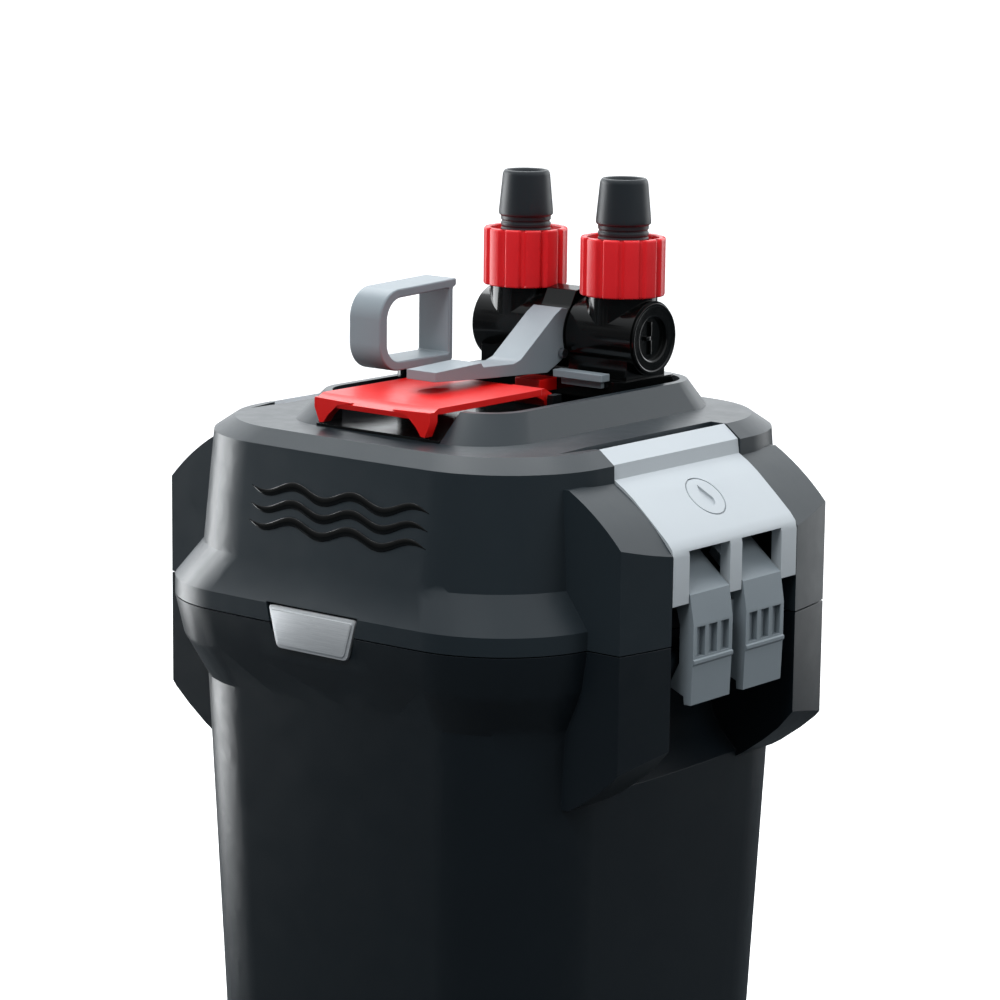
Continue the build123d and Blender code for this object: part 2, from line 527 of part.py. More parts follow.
def build():
    """Every node of the filter."""
    nodes = {"canister_shell": canister_shell(), "rubber_feet": foot_positions(8, -292, -287.5)}
    nodes.update(media_parts())
    nodes["head_shell"] = head_shell()
    nodes["valve_tray"] = valve_tray()
    nodes["head_base"] = head_base()
    nodes["seal_ring"] = seal_ring()
    nodes.update(pump_parts())
    tube = rod(PORT_X, PORT_Y, 11.5, 4, 53.1) - rod(PORT_X, PORT_Y, DUCT_BORE, 5, 60)
    nodes["outlet_duct"] = tube - rod(PORT_X, PORT_Y, 7, 0, 10)
    nodes["inlet_duct"] = (rod(-PORT_X, PORT_Y, 11.5, -30, 53.1)
                           - rod(-PORT_X, PORT_Y, DUCT_BORE, -31, 60))
    nodes["primer_tube"] = (rod(*PRIMER, 9.5, 4, 52.5) - rod(*PRIMER, PRIMER_BORE, 6, 60)
                            - rod(*PRIMER, 3, 0, 10))
    nodes["primer_guide"] = rod(*PRIMER, 4.2, TRAY_TOP, 67.9) - rod(*PRIMER, 2.56, 50, 70)
    nodes["primer_piston"] = rod(*PRIMER, PRIMER_BORE - RUN, 8, 14) + rod(*PRIMER, 2.5, 14, 68.3)
    nodes["primer_handle"] = primer_handle()
    nodes["cord_gland"] = (rod_y(20, 24, 6, 74, 86) + rod_y(20, 24, 8, 80.6, 83)
                           - rod_y(20, 24, 3.2, 70, 90))
    nodes["front_badge"] = prism_xz(badge_outline(0), -86.2, -84.4)
    arm, lever = clamp_arm(), latch_lever()
    clamp_pin = rod_y(*CLAMP_PIN, CLAMP_PIN_R, -34.6, 34.6)
    latch_pin = rod_y(*LATCH_PIN, LATCH_PIN_R, -30.8, 30.8)
    for side, turn in (("right", lambda shape: shape), ("left", left_of)):
        nodes[side + "_clamp_arm"] = turn(arm)
        nodes[side + "_clamp_pin"] = turn(clamp_pin)
        nodes[side + "_latch_lever"] = turn(lever)
        nodes[side + "_latch_pin"] = turn(latch_pin)
        nodes[side + "_valve_cap"] = turn(end_cap())
        nodes[side + "_lock_nut"] = turn(lock_nut())
        nodes[side + "_hose_connector"] = turn(hose_connector())
    nodes["valve_body"] = valve_body()
    nodes["valve_o_rings"] = o_rings()
    nodes["valve_rotor"] = valve_rotor()
    nodes["lever_hub"] = lever_hub()
    nodes["valve_lever"] = valve_lever()
    nodes["lever_pin"] = rod_x(25.9, 72.3, 1.5, -7.4, 7.4)
    nodes["lock_bar"] = block(6.6, 26, 20.6, 25, 65.4, 67.8) + block(8, 24, 23, 25, 63, 65.4)
    nodes["release_catch"] = block(-5, 5, 16, 25, 60.6, 64.6)
    nodes["release_flap"] = release_flap()
    nodes["flap_pin"] = rod_x(*FLAP_PIN, 1.0, -25.6, 25.6)
    return nodes


os.makedirs("parts", exist_ok=True)
for node, shape in build().items():
    save(node, shape)
    print(node)
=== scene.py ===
"""Canister filter: finishes, rounded mouldings, filter media, pump details, studio and camera."""

import json
import logging
import math
from dataclasses import dataclass, field
from enum import Enum
from typing import Iterable, Sequence

import bmesh
import bpy
from bmesh.types import BMesh, BMFace, BMVert
from bpy.types import ID, Material, Mesh, Node, NodeSocket, NodeTree, Object
from mathutils import Matrix, Vector, noise
from mathutils.bvhtree import BVHTree


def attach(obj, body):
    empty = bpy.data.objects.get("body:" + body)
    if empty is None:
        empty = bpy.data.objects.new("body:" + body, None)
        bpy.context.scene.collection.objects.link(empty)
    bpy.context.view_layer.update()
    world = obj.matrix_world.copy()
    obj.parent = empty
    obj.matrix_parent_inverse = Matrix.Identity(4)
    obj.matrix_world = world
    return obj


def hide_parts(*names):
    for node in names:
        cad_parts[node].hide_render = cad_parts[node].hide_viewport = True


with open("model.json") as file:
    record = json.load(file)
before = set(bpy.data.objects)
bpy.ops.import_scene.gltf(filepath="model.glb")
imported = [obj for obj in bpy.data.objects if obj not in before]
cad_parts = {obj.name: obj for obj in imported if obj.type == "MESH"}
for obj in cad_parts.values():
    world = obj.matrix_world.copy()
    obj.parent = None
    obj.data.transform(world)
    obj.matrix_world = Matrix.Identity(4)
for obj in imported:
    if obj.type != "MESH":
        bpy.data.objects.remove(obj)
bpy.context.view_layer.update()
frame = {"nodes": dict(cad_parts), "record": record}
LOG = logging.getLogger("canister_filter")

MM = 0.001
WELD = 0.002 * MM          # distance under which two corners of a carried-over node are one
PARTING_MM = 292.0         # height of the plane between head and canister
PORT = (19.7, 39.0)        # plan position of the right hose port
PORT_HEIGHT = 78.1         # axis of the valve barrels above the parting plane

Point = tuple[float, float, float]


def at(x: float, y: float, z: float) -> Vector:
    """Place in metres of a point given in millimetres, with its height above the parting plane."""
    return Vector((x, y, z + PARTING_MM)) * MM


def linear(hex_colour: str) -> tuple[float, float, float, float]:
    """Turn an sRGB hex colour into linear values.

    Args:
        hex_colour: colour as "#rrggbb".

    Returns:
        Linear red, green, blue and an alpha of one.
    """
    channels = [int(hex_colour[i:i + 2], 16) / 255 for i in (1, 3, 5)]
    values = [c / 12.92 if c <= 0.04045 else ((c + 0.055) / 1.055) ** 2.4 for c in channels]
    return (values[0], values[1], values[2], 1.0)


def per_metre(millimetres: float) -> float:
    """Texture scale whose features are about this many millimetres across."""
    return 1.0 / (millimetres * MM)


def connect(tree: NodeTree, value: object, socket: NodeSocket) -> None:
    """Link a socket into an input, or set the input's value."""
    if isinstance(value, NodeSocket):
        tree.links.new(value, socket)
    else:
        socket.default_value = value


def add_node(tree: NodeTree, kind: str, settings: dict[str, object] | None = None,
             **inputs: object) -> Node:
    """Add one node with its settings, input values and links.

    Args:
        tree: node tree that gets the node.
        kind: Blender's node type.
        settings: node properties by name.
        inputs: values, or sockets to link from, by input name (underscores for spaces) or slot_N.

    Returns:
        The new node.
    """
    node = tree.nodes.new(kind)
    for name, value in (settings or {}).items():
        setattr(node, name, value)
    for name, value in inputs.items():
        key = int(name[5:]) if name.startswith("slot_") else name.replace("_", " ")
        connect(tree, value, node.inputs[key])
    return node


def speckle(tree: NodeTree, where: NodeSocket, size_mm: float, detail: float,
            **inputs: object) -> NodeSocket:
    """Noise of a real size, as a value from zero to one."""
    return add_node(tree, "ShaderNodeTexNoise", Vector=where, Scale=per_metre(size_mm),
                    Detail=detail, **inputs).outputs["Fac"]


# ---------------------------------------------------------------- finishes

class Gloss(Enum):
    """How a mould was finished, as the roughness that it leaves."""

    POLISHED = 0.14
    SATIN = 0.34
    SOFT = 0.42
    MATT = 0.58


def new_material(name: str) -> tuple[Material, NodeTree, Node]:
    """Empty node material.

    Args:
        name: material name in plain words.

    Returns:
        The material, its node tree and its surface shader.
    """
    material = bpy.data.materials.new(name)
    material.use_nodes = True
    tree = material.node_tree
    tree.nodes.clear()
    shader = add_node(tree, "ShaderNodeBsdfPrincipled")
    add_node(tree, "ShaderNodeOutputMaterial", Surface=shader.outputs["BSDF"])
    return material, tree, shader


@dataclass(frozen=True)
class Finish:
    """Procedural surface: a pattern mixes two tones and raises the surface a little."""

    name: str
    low_tone: str
    high_tone: str

    def pattern(self, tree: NodeTree, where: NodeSocket) -> dict[str, object]:
        """Pattern of the real finish, made by each kind of finish.

        Args:
            tree: the material's node tree.
            where: place on the object.

        Returns:
            The sockets "tone" and "height", the numbers "depth" and "reach_mm" of the relief, and the
            shader's own inputs by name.
        """
        raise NotImplementedError

    def build(self) -> Material:
        """Make the material."""
        material, tree, shader = new_material(self.name)
        made = self.pattern(tree, add_node(tree, "ShaderNodeTexCoord").outputs["Object"])
        tone = add_node(tree, "ShaderNodeMix", {"data_type": "RGBA"}, Factor=made.pop("tone"),
                        slot_6=linear(self.low_tone), slot_7=linear(self.high_tone))
        bump = add_node(tree, "ShaderNodeBump", Height=made.pop("height"),
                        Strength=made.pop("depth"), Distance=made.pop("reach_mm") * MM)
        made |= {"Base Color": tone.outputs[2], "Normal": bump.outputs["Normal"]}
        for name, value in made.items():
            connect(tree, value, shader.inputs[name])
        return material


@dataclass(frozen=True)
class MouldedPlastic(Finish):
    """Injection-moulded plastic: two close tones, a fine spark-eroded grain, faint handling marks."""

    gloss: Gloss
    grain_mm: float = 0.5
    depth: float = 0.06
    cloud_mm: float = 26.0
    rub_mm: float = 7.0

    def pattern(self, tree: NodeTree, where: NodeSocket) -> dict[str, object]:
        """Slow clouds of tone, a fine grain, and rubbed patches that change the roughness."""
        rough = add_node(tree, "ShaderNodeMapRange",
                         Value=speckle(tree, where, self.rub_mm, 5.0, Roughness=0.65), From_Min=0.3,
                         From_Max=0.7, To_Min=self.gloss.value - 0.03, To_Max=self.gloss.value + 0.04)
        return {"tone": speckle(tree, where, self.cloud_mm, 4.0),
                "height": speckle(tree, where, self.grain_mm, 2.0), "depth": self.depth,
                "reach_mm": 0.1, "Roughness": rough.outputs["Result"]}


@dataclass(frozen=True)
class StippledPlastic(Finish):
    """Moulded plastic with a coarse non-slip stipple below one height and none above."""

    top_mm: float
    stipple_mm: float

    def pattern(self, tree: NodeTree, where: NodeSocket) -> dict[str, object]:
        """Pits that sink and are painted darker as painted shade, and stop at the plate's top."""
        height = add_node(tree, "ShaderNodeSeparateXYZ", Vector=where).outputs["Z"]
        edge = (PARTING_MM + self.top_mm) * MM
        below = add_node(tree, "ShaderNodeMapRange", Value=height, From_Min=edge - 0.4 * MM,
                         From_Max=edge, To_Min=1.0, To_Max=0.0)
        # the pits both sink the surface and darken its colour: painted shade in the pits
        pits = speckle(tree, where, self.stipple_mm, 3.0)
        shown = add_node(tree, "ShaderNodeMath", {"operation": "MULTIPLY"}, slot_0=pits,
                         slot_1=below.outputs["Result"]).outputs[0]
        return {"tone": shown, "height": shown, "depth": 0.9, "reach_mm": 0.25,
                "Roughness": Gloss.SOFT.value}


@dataclass(frozen=True)
class BrushedMetal(Finish):
    """Metal with fine lines along one axis, which stretch its highlights across them."""

    roughness: float
    line_mm: float
    along: int
    metallic: float = 1.0

    def pattern(self, tree: NodeTree, where: NodeSocket) -> dict[str, object]:
        """Noise stretched fifty times as the lines."""
        stretch = [1.0, 1.0, 1.0]
        stretch[self.along] = 0.02
        laid = add_node(tree, "ShaderNodeMapping", Vector=where, Scale=tuple(stretch))
        lines = speckle(tree, laid.outputs["Vector"], self.line_mm, 3.0)
        rough = add_node(tree, "ShaderNodeMapRange", Value=lines, To_Min=self.roughness - 0.08,
                         To_Max=self.roughness + 0.1)
        return {"tone": lines, "height": lines, "depth": 0.12, "reach_mm": 0.05,
                "Roughness": rough.outputs["Result"], "Metallic": self.metallic}


@dataclass(frozen=True)
class StackedSheets(Finish):
    """Electrical steel sheets in a stack, drawn thicker than real ones so that they show."""

    sheet_mm: float

    def pattern(self, tree: NodeTree, where: NodeSocket) -> dict[str, object]:
        """Level lines between the sheets."""
        bands = add_node(tree, "ShaderNodeTexWave", {"bands_direction": "Z"}, Vector=where,
                         Scale=per_metre(self.sheet_mm) / 20 * math.pi, Distortion=0.0).outputs["Fac"]
        return {"tone": bands, "height": bands, "depth": 0.5, "reach_mm": 0.1, "Roughness": 0.4,
                "Metallic": 1.0}


@dataclass(frozen=True)
class PorousSolid(Finish):
    """Foam, fleece, ceramic or sintered stock: pores of the real size, lower inside and painted darker there
    as painted shade.
    """

    roughness: float
    pore_mm: float
    depth: float

    def pattern(self, tree: NodeTree, where: NodeSocket) -> dict[str, object]:
        """Cells whose middles are the pores."""
        cells = add_node(tree, "ShaderNodeTexVoronoi", Vector=where, Scale=per_metre(self.pore_mm))
        # the pores both sink the surface and darken its colour: painted shade inside the pores
        pores = add_node(tree, "ShaderNodeMapRange", Value=cells.outputs["Distance"], From_Min=0.15,
                         From_Max=0.6).outputs["Result"]
        return {"tone": pores, "height": pores, "depth": self.depth, "reach_mm": 0.4,
                "Roughness": self.roughness}


# What each finish gives the eye:
# satin ABS is dark and quiet face on, and greys at a glancing angle; polished ABS mirrors the lamps;
# polypropylene is duller and waxy; rubber has no clear highlight; ground steel and brushed aluminium
# show lines; ceramic, foam and fleece break up into pores.
FINISHES = {
    "tub_plastic": MouldedPlastic("tub_satin_abs", "#131a1f", "#10161b", Gloss.SATIN),
    "head_plastic": MouldedPlastic("head_satin_abs", "#232b30", "#20272c", Gloss.SATIN),
    "dark_plastic": MouldedPlastic("dark_satin_abs", "#0c0d0e", "#0a0b0c", Gloss.POLISHED, depth=0.03),
    "valve_plastic": MouldedPlastic("polished_black_abs", "#060707", "#050606", Gloss.POLISHED,
                                    depth=0.02),
    "rack_plastic": MouldedPlastic("rack_polypropylene", "#33383d", "#2e3338", Gloss.SOFT),
    "grey_plastic": MouldedPlastic("lever_grey_abs", "#828b91", "#7b848a", Gloss.SOFT),
    "clamp_plastic": MouldedPlastic("silver_grey_abs", "#b3b9bd", "#acb2b7", Gloss.SOFT),
    "red_plastic": MouldedPlastic("signal_red_abs", "#d9130f", "#cf0f0c", Gloss.SATIN, depth=0.03),
    "nut_plastic": MouldedPlastic("nut_red_abs", "#e2272d", "#d92329", Gloss.SATIN, depth=0.03),
    "connector_rubber": MouldedPlastic("hose_rubber", "#23282c", "#1f2428", Gloss.SOFT, 0.4, 0.1),
    "rubber": MouldedPlastic("black_rubber", "#141516", "#111213", Gloss.MATT, 0.4, 0.15),
    "steel": BrushedMetal("ground_steel", "#b9bcbf", "#a9acaf", 0.28, 0.12, 0),
    "badge_metal": BrushedMetal("brushed_aluminium", "#e8eaec", "#a9adb1", 0.3, 0.16, 0, 0.4),
    "core_steel": StackedSheets("stacked_sheet_steel", "#4f5154", "#8b8d90", 1.0),
    "coil_wire": BrushedMetal("enamelled_copper", "#b8642c", "#9c4f20", 0.34, 0.35, 0),
    # porous finishes: the first tone is painted shade inside the pores
    "ceramic": PorousSolid("sintered_ceramic", "#b7a98e", "#e6ddcc", 0.85, 0.6, 0.5),
    "magnet": PorousSolid("ferrite_magnet", "#2b2c2e", "#3a3b3d", 0.5, 0.4, 0.2),
    "impeller_plastic": MouldedPlastic("impeller_white_acetal", "#dfe0dd", "#d7d8d5", Gloss.SATIN),
    "foam": PorousSolid("reticulated_foam", "#07080a", "#2f363d", 0.9, 1.5, 1.0),
    "fleece": PorousSolid("polyester_fleece", "#c3c8cd", "#eceef0", 0.95, 0.8, 0.7),
}
EXTRA_FINISHES = {
    # the darker second tone of the latch plate is painted shade in the stipple pits
    "latch_plate": StippledPlastic("latch_grey_abs_stippled", "#7a8289", "#565d63", -6.8, 0.9),
    "cap_ring": MouldedPlastic("cap_grey_abs", "#33393d", "#2f3539", Gloss.SOFT),
}


# ---------------------------------------------------------------- mesh tools

def mesh_from(name: str, work: BMesh) -> Mesh:
    """Turn a bmesh into a mesh and free it."""
    mesh = bpy.data.meshes.new(name)
    work.to_mesh(mesh)
    work.free()
    return mesh


def object_from(name: str, data: ID) -> Object:
    """Put a mesh, light or camera in the scene, at the origin."""
    piece = bpy.data.objects.new(name, data)
    bpy.context.scene.collection.objects.link(piece)
    return piece


def joined(name: str, meshes: Iterable[Mesh]) -> Mesh:
    """Join meshes into one, keeping each face's material number.

    Args:
        name: name of the new mesh.
        meshes: meshes to join.

    Returns:
        One mesh with every face.
    """
    work = bmesh.new()
    for mesh in meshes:
        work.from_mesh(mesh)
    return mesh_from(name, work)


def moved(mesh: Mesh, matrix: Matrix) -> Mesh:
    """Move a mesh in place and return it."""
    mesh.transform(matrix)
    if matrix.determinant() < 0:
        mesh.flip_normals()
    return mesh


def numbered(mesh: Mesh, index: int) -> Mesh:
    """Give every face one material number and return the mesh."""
    for face in mesh.polygons:
        face.material_index = index
    return mesh


def modify(piece: Object, name: str, kind: str, **settings: object) -> None:
    """Add a modifier with its settings."""
    modifier = piece.modifiers.new(name, kind)
    for key, value in settings.items():
        setattr(modifier, key, value)


def baked(piece: Object) -> Object:
    """Replace a piece's mesh by its evaluated mesh and drop its modifiers."""
    graph = bpy.context.evaluated_depsgraph_get()
    mesh = bpy.data.meshes.new_from_object(piece.evaluated_get(graph))
    piece.modifiers.clear()
    old, piece.data = piece.data, mesh
    bpy.data.meshes.remove(old)
    mesh.name = piece.name
    return piece


def smoothed(piece: Object, degrees: float = 40.0) -> Object:
    """Shade a piece smooth, with a sharp edge wherever faces turn by more than an angle."""
    mesh = piece.data
    work = bmesh.new()
    work.from_mesh(mesh)
    limit = math.radians(degrees)
    for face in work.faces:
        face.smooth = True
    for edge in work.edges:
        edge.smooth = len(edge.link_faces) == 2 and edge.calc_face_angle(0.0) < limit
    work.to_mesh(mesh)
    work.free()
    return piece


def rounded_corners(corners: Sequence[Point], steps: int = 4, closed: bool = True) -> list[Vector]:
    """Round the corners of a flat outline.

    Args:
        corners: (u, v, rounding) of each corner, in millimetres.
        steps: points on each rounding.
        closed: whether the last corner joins the first.

    Returns:
        Points of the rounded outline as (u, v) in millimetres.
    """
    points = []
    for i, (u, v, rounding) in enumerate(corners):
        here = Vector((u, v))
        inside = closed or 0 < i < len(corners) - 1
        if not inside or rounding <= 0:
            points.append(here)
            continue
        before = Vector(corners[i - 1][:2]) - here
        after = Vector(corners[(i + 1) % len(corners)][:2]) - here
        cut_in = min(rounding, before.length * 0.45)
        cut_out = min(rounding, after.length * 0.45)
        start, end = here + before.normalized() * cut_in, here + after.normalized() * cut_out
        for k in range(steps + 1):
            t = k / steps
            points.append(start * (1 - t) ** 2 + here * 2 * t * (1 - t) + end * t * t)
    return points


def loft(name: str, rows: Sequence[Sequence[Vector]], loop: bool = False,
         around: bool = True) -> Mesh:
    """Skin rows of points as one closed mesh.

    Args:
        name: name of the mesh.
        rows: rows of equal length, in metres.
        loop: whether the last row joins the first; otherwise both end rows are capped.
        around: whether each row closes on itself.

    Returns:
        Mesh with its normals outward.
    """
    work = bmesh.new()
    rings = [[work.verts.new(point) for point in row] for row in rows]
    for here, there in zip(rings, rings[1:] + rings[:1] if loop else rings[1:]):
        for k in range(len(here) if around else len(here) - 1):
            n = (k + 1) % len(here)
            work.faces.new((here[k], there[k], there[n], here[n]))
    if not loop:
        work.faces.new(rings[0])
        work.faces.new(reversed(rings[-1]))
    bmesh.ops.remove_doubles(work, verts=work.verts, dist=1e-7)
    bmesh.ops.dissolve_degenerate(work, dist=1e-8, edges=work.edges)
    bmesh.ops.recalc_face_normals(work, faces=work.faces)
    return mesh_from(name, work)


def lathe(name: str, corners: Sequence[Point], segments: int,
          closed: bool = True) -> Mesh:
    """Turn an outline round the vertical axis.

    Args:
        name: name of the mesh.
        corners: (radius, height, rounding) of each corner, in millimetres.
        segments: faces round the axis.
        closed: False for an outline that starts and ends on the axis.

    Returns:
        Closed mesh round the origin's vertical axis, in metres.
    """
    outline = rounded_corners(corners, closed=closed)
    turns = [2 * math.pi * k / segments for k in range(segments)]
    rows = [[Vector((p.x * math.cos(t), p.x * math.sin(t), p.y)) * MM for p in outline]
            for t in turns]
    return loft(name, rows, loop=True, around=closed)


def prism(name: str, outline: Sequence[Vector], low: float, high: float) -> Mesh:
    """Draw a flat outline in X and height out along Y.

    Args:
        name: name of the mesh.
        outline: (x, height) points in millimetres.
        low: first Y in millimetres.
        high: last Y in millimetres.

    Returns:
        Closed mesh in metres, placed above the parting plane.
    """
    return loft(name, [[at(p.x, y, p.y) for p in outline] for y in (low, high)])


def tube_along(name: str, path: Sequence[Vector], radius_mm: float, sides: int) -> Mesh:
    """Round wire along a closed path that lies in a plane across X.

    Args:
        name: name of the mesh.
        path: (y, z) points in millimetres.
        radius_mm: wire radius.
        sides: faces round the wire.

    Returns:
        Closed ring of wire, in metres, with its plane at X = 0.
    """
    rows = []
    for i, here in enumerate(path):
        ahead = (path[(i + 1) % len(path)] - path[i - 1]).normalized()
        across = Vector((ahead.y, -ahead.x)) * radius_mm
        turns = [2 * math.pi * k / sides for k in range(sides)]
        spots = [(radius_mm * math.sin(t), here + across * math.cos(t)) for t in turns]
        rows.append([at(x, spot.x, spot.y) for x, spot in spots])
    return loft(name, rows, loop=True)


def smooth_piece(name: str, meshes: Iterable[Mesh], degrees: float) -> Object:
    """Join meshes as one named piece, smooth where faces turn by less than an angle."""
    return smoothed(object_from(name, joined(name, meshes)), degrees)


def box_mesh(name: str, size: Point) -> Mesh:
    """Box round the origin with lightly broken edges, its size in millimetres."""
    work = bmesh.new()
    bmesh.ops.create_cube(work, size=1.0)
    bmesh.ops.scale(work, vec=Vector(size) * MM, verts=work.verts)
    bmesh.ops.bevel(work, geom=list(work.edges), offset=min(size) * 0.2 * MM, segments=2,
                    profile=0.5, affect="EDGES")
    return mesh_from(name, work)


# ---------------------------------------------------------------- geometry node trees

MATHS, PLACES = "ShaderNodeMath", "ShaderNodeVectorMath"     # sums on numbers, sums on points


class SizedTree:
    """Geometry Nodes tree with named inputs, run on a mesh and kept as plain mesh."""

    KINDS = {int: "NodeSocketInt", float: "NodeSocketFloat", tuple: "NodeSocketVector"}

    def __init__(self, name: str, sizes: dict[str, object]) -> None:
        """Make the tree's inputs.

        Args:
            name: name of the tree.
            sizes: default of each named input, whose type sets the socket's type.
        """
        self.tree = bpy.data.node_groups.new(name, "GeometryNodeTree")
        sockets = self.tree.interface
        sockets.new_socket("Geometry", in_out="OUTPUT", socket_type="NodeSocketGeometry")
        sockets.new_socket("Geometry", in_out="INPUT", socket_type="NodeSocketGeometry")
        self.identifiers = {}
        for label, value in sizes.items():
            socket = sockets.new_socket(label, in_out="INPUT", socket_type=self.KINDS[type(value)])
            socket.default_value = value
            self.identifiers[label] = socket.identifier
        self.finish = sockets.new_socket("Finish", in_out="INPUT", socket_type="NodeSocketMaterial")
        self.given = add_node(self.tree, "NodeGroupInput").outputs

    def out(self, kind: str, *values: object, output: int | str = 0,
            **settings: object) -> NodeSocket:
        """Add a node and take one of its outputs.

        Args:
            kind: Blender's node type.
            values: input values or sockets in the node's own order, None for one left alone.
            output: the output wanted.
            settings: node properties by name.

        Returns:
            That output.
        """
        inputs = {f"slot_{i}": value for i, value in enumerate(values) if value is not None}
        return add_node(self.tree, kind, settings, **inputs).outputs[output]

    def close(self, geometry: NodeSocket) -> None:
        """End the tree in real geometry with its finish."""
        real = add_node(self.tree, "GeometryNodeRealizeInstances", Geometry=geometry)
        dressed = add_node(self.tree, "GeometryNodeSetMaterial", Geometry=real.outputs["Geometry"],
                           Material=self.given["Finish"])
        add_node(self.tree, "NodeGroupOutput", Geometry=dressed.outputs["Geometry"])

    def repeat(self, count: NodeSocket, offset: NodeSocket, turn: NodeSocket) -> None:
        """End the tree in copies of the given shape, each with its offset and turn."""
        line = self.out("GeometryNodeMeshLine", count)
        spots = self.out("GeometryNodeSetPosition", line, None, offset)
        self.close(add_node(self.tree, "GeometryNodeInstanceOnPoints", Points=spots,
                            Instance=self.given["Geometry"], Rotation=turn).outputs["Instances"])

    def run(self, base: Mesh, finish: Material, **sizes: object) -> Mesh:
        """Run the tree on a mesh.

        Args:
            base: mesh that the tree starts from.
            finish: material of the result.
            sizes: inputs by name, with underscores for spaces.

        Returns:
            Plain mesh.
        """
        piece = object_from(self.tree.name + "_run", base)
        modifier = piece.modifiers.new("tree", "NODES")
        modifier.node_group = self.tree
        for label, value in sizes.items():
            modifier[self.identifiers[label.replace("_", " ")]] = value
        modifier[self.finish.identifier] = finish
        mesh = baked(piece).data
        bpy.data.objects.remove(piece)
        return mesh


def grid_tree() -> SizedTree:
    """Tree that repeats a shape on a grid of points, with a little seeded disorder."""
    made = SizedTree("repeat_on_grid", {
        "Across": 1, "Deep": 1, "High": 1, "Start": (0.0, 0.0, 0.0), "Pitch": (0.01, 0.01, 0.01),
        "Tilt": (0.0, 0.0, 0.0), "Seed": 3})
    given, out = made.given, made.out
    index = out("GeometryNodeInputIndex")
    layer = out(MATHS, given["Across"], given["Deep"], operation="MULTIPLY")
    total = out(MATHS, layer, given["High"], operation="MULTIPLY")
    column = out(MATHS, index, given["Across"], operation="MODULO")
    rows = out(MATHS, out(MATHS, index, given["Across"], operation="DIVIDE"), operation="FLOOR")
    row = out(MATHS, rows, given["Deep"], operation="MODULO")
    level = out(MATHS, out(MATHS, index, layer, operation="DIVIDE"), operation="FLOOR")
    cell = out("ShaderNodeCombineXYZ", column, row, level)
    step = out(PLACES, cell, given["Pitch"], given["Start"], operation="MULTIPLY_ADD")
    back = out(PLACES, given["Tilt"], None, None, -1.0, operation="SCALE")
    turn = add_node(made.tree, "FunctionNodeRandomValue", {"data_type": "FLOAT_VECTOR"}, slot_0=back,
                    slot_1=given["Tilt"], Seed=given["Seed"]).outputs[0]
    made.repeat(total, step, turn)
    return made


def ring_tree() -> SizedTree:
    """Tree that repeats a shape round the vertical axis through a centre."""
    made = SizedTree("repeat_in_ring", {"Count": 6, "Centre": (0.0, 0.0, 0.0)})
    given, out = made.given, made.out
    share = out(MATHS, out("GeometryNodeInputIndex"), given["Count"], operation="DIVIDE")
    angle = out(MATHS, share, 2 * math.pi, operation="MULTIPLY")
    made.repeat(given["Count"], given["Centre"], out("ShaderNodeCombineXYZ", None, None, angle))
    return made


def flute_tree() -> SizedTree:
    """Tree that presses grip flutes into the outer wall of a turned ring."""
    made = SizedTree("grip_flutes", {"Count": 12, "Depth": 0.001, "Groove Share": 0.3,
                                     "Wall Radius": 0.01, "Phase": 0.0})
    given, out = made.given, made.out
    where = out("GeometryNodeInputPosition")
    x, y = (out("ShaderNodeSeparateXYZ", where, output=axis) for axis in "XY")
    flat = out("ShaderNodeCombineXYZ", x, y)
    radius = out(PLACES, flat, operation="LENGTH", output="Value")
    share = out(MATHS, out(MATHS, y, x, operation="ARCTAN2"), 2 * math.pi, operation="DIVIDE")
    turns = out(MATHS, share, given["Count"], given["Phase"], operation="MULTIPLY_ADD")
    half = out(MATHS, out(MATHS, turns, operation="FRACT"), 0.5, operation="SUBTRACT")
    flank = out(MATHS, given["Groove Share"], 0.28, operation="MULTIPLY")
    groove = out("ShaderNodeMapRange", out(MATHS, half, operation="ABSOLUTE"), flank,
                 given["Groove Share"], given["Depth"], 0.0, interpolation_type="SMOOTHSTEP")
    rim = out(MATHS, given["Wall Radius"], 0.4 * MM, operation="ADD")
    outer = out("ShaderNodeMapRange", radius, given["Wall Radius"], rim)
    cut = out(MATHS, out(MATHS, groove, outer, operation="MULTIPLY"), -1.0, operation="MULTIPLY")
    shift = out(PLACES, out(PLACES, flat, operation="NORMALIZE"), None, None, cut,
                operation="SCALE")
    made.close(out("GeometryNodeSetPosition", given["Geometry"], None, None, shift))
    return made


# ---------------------------------------------------------------- workshop

class Workshop:
    """Shared finishes and trees, and the steps that turn meshes into finished pieces."""

    def __init__(self) -> None:
        """Build every finish and tree once and read the record's slots and bodies."""
        self.materials = {slot: finish.build() for slot, finish in (FINISHES | EXTRA_FINISHES).items()}
        self.grid, self.ring, self.flutes = grid_tree(), ring_tree(), flute_tree()
        record = frame["record"]
        self.slots = {row["node"]: row["material_slot"] for row in record["subparts"]}
        self.bodies = {node: body for body, nodes in record["behaviour"]["bodies"].items()
                       for node in nodes}

    def dress_nodes(self) -> None:
        """Give every carried-over node the finish of its slot."""
        for node, piece in frame["nodes"].items():
            piece.data.materials.clear()
            piece.data.materials.append(self.materials[self.slots[node]])

    def place(self, piece: Object, node: str, extra: Sequence[str] = ()) -> Object:
        """Let a finished piece stand for a node.

        Args:
            piece: finished mesh object at the origin.
            node: node whose body, slot and place it takes.
            extra: further finishes, in the order of the faces' material numbers from 1.

        Returns:
            The same piece.
        """
        slot = self.slots[node]
        piece.data.materials.clear()
        for name in (slot, *extra):
            piece.data.materials.append(self.materials[name])
        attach(piece, self.bodies[node])
        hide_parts(node)
        LOG.info("%s stands for %s with %d faces", piece.name, node, len(piece.data.polygons))
        return piece

    def add(self, piece: Object, body: str, slot: str) -> Object:
        """Add a piece of trim that stands for no node."""
        piece.data.materials.clear()
        piece.data.materials.append(self.materials[slot])
        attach(piece, body)
        LOG.info("%s added to %s with %d faces", piece.name, body, len(piece.data.polygons))
        return piece


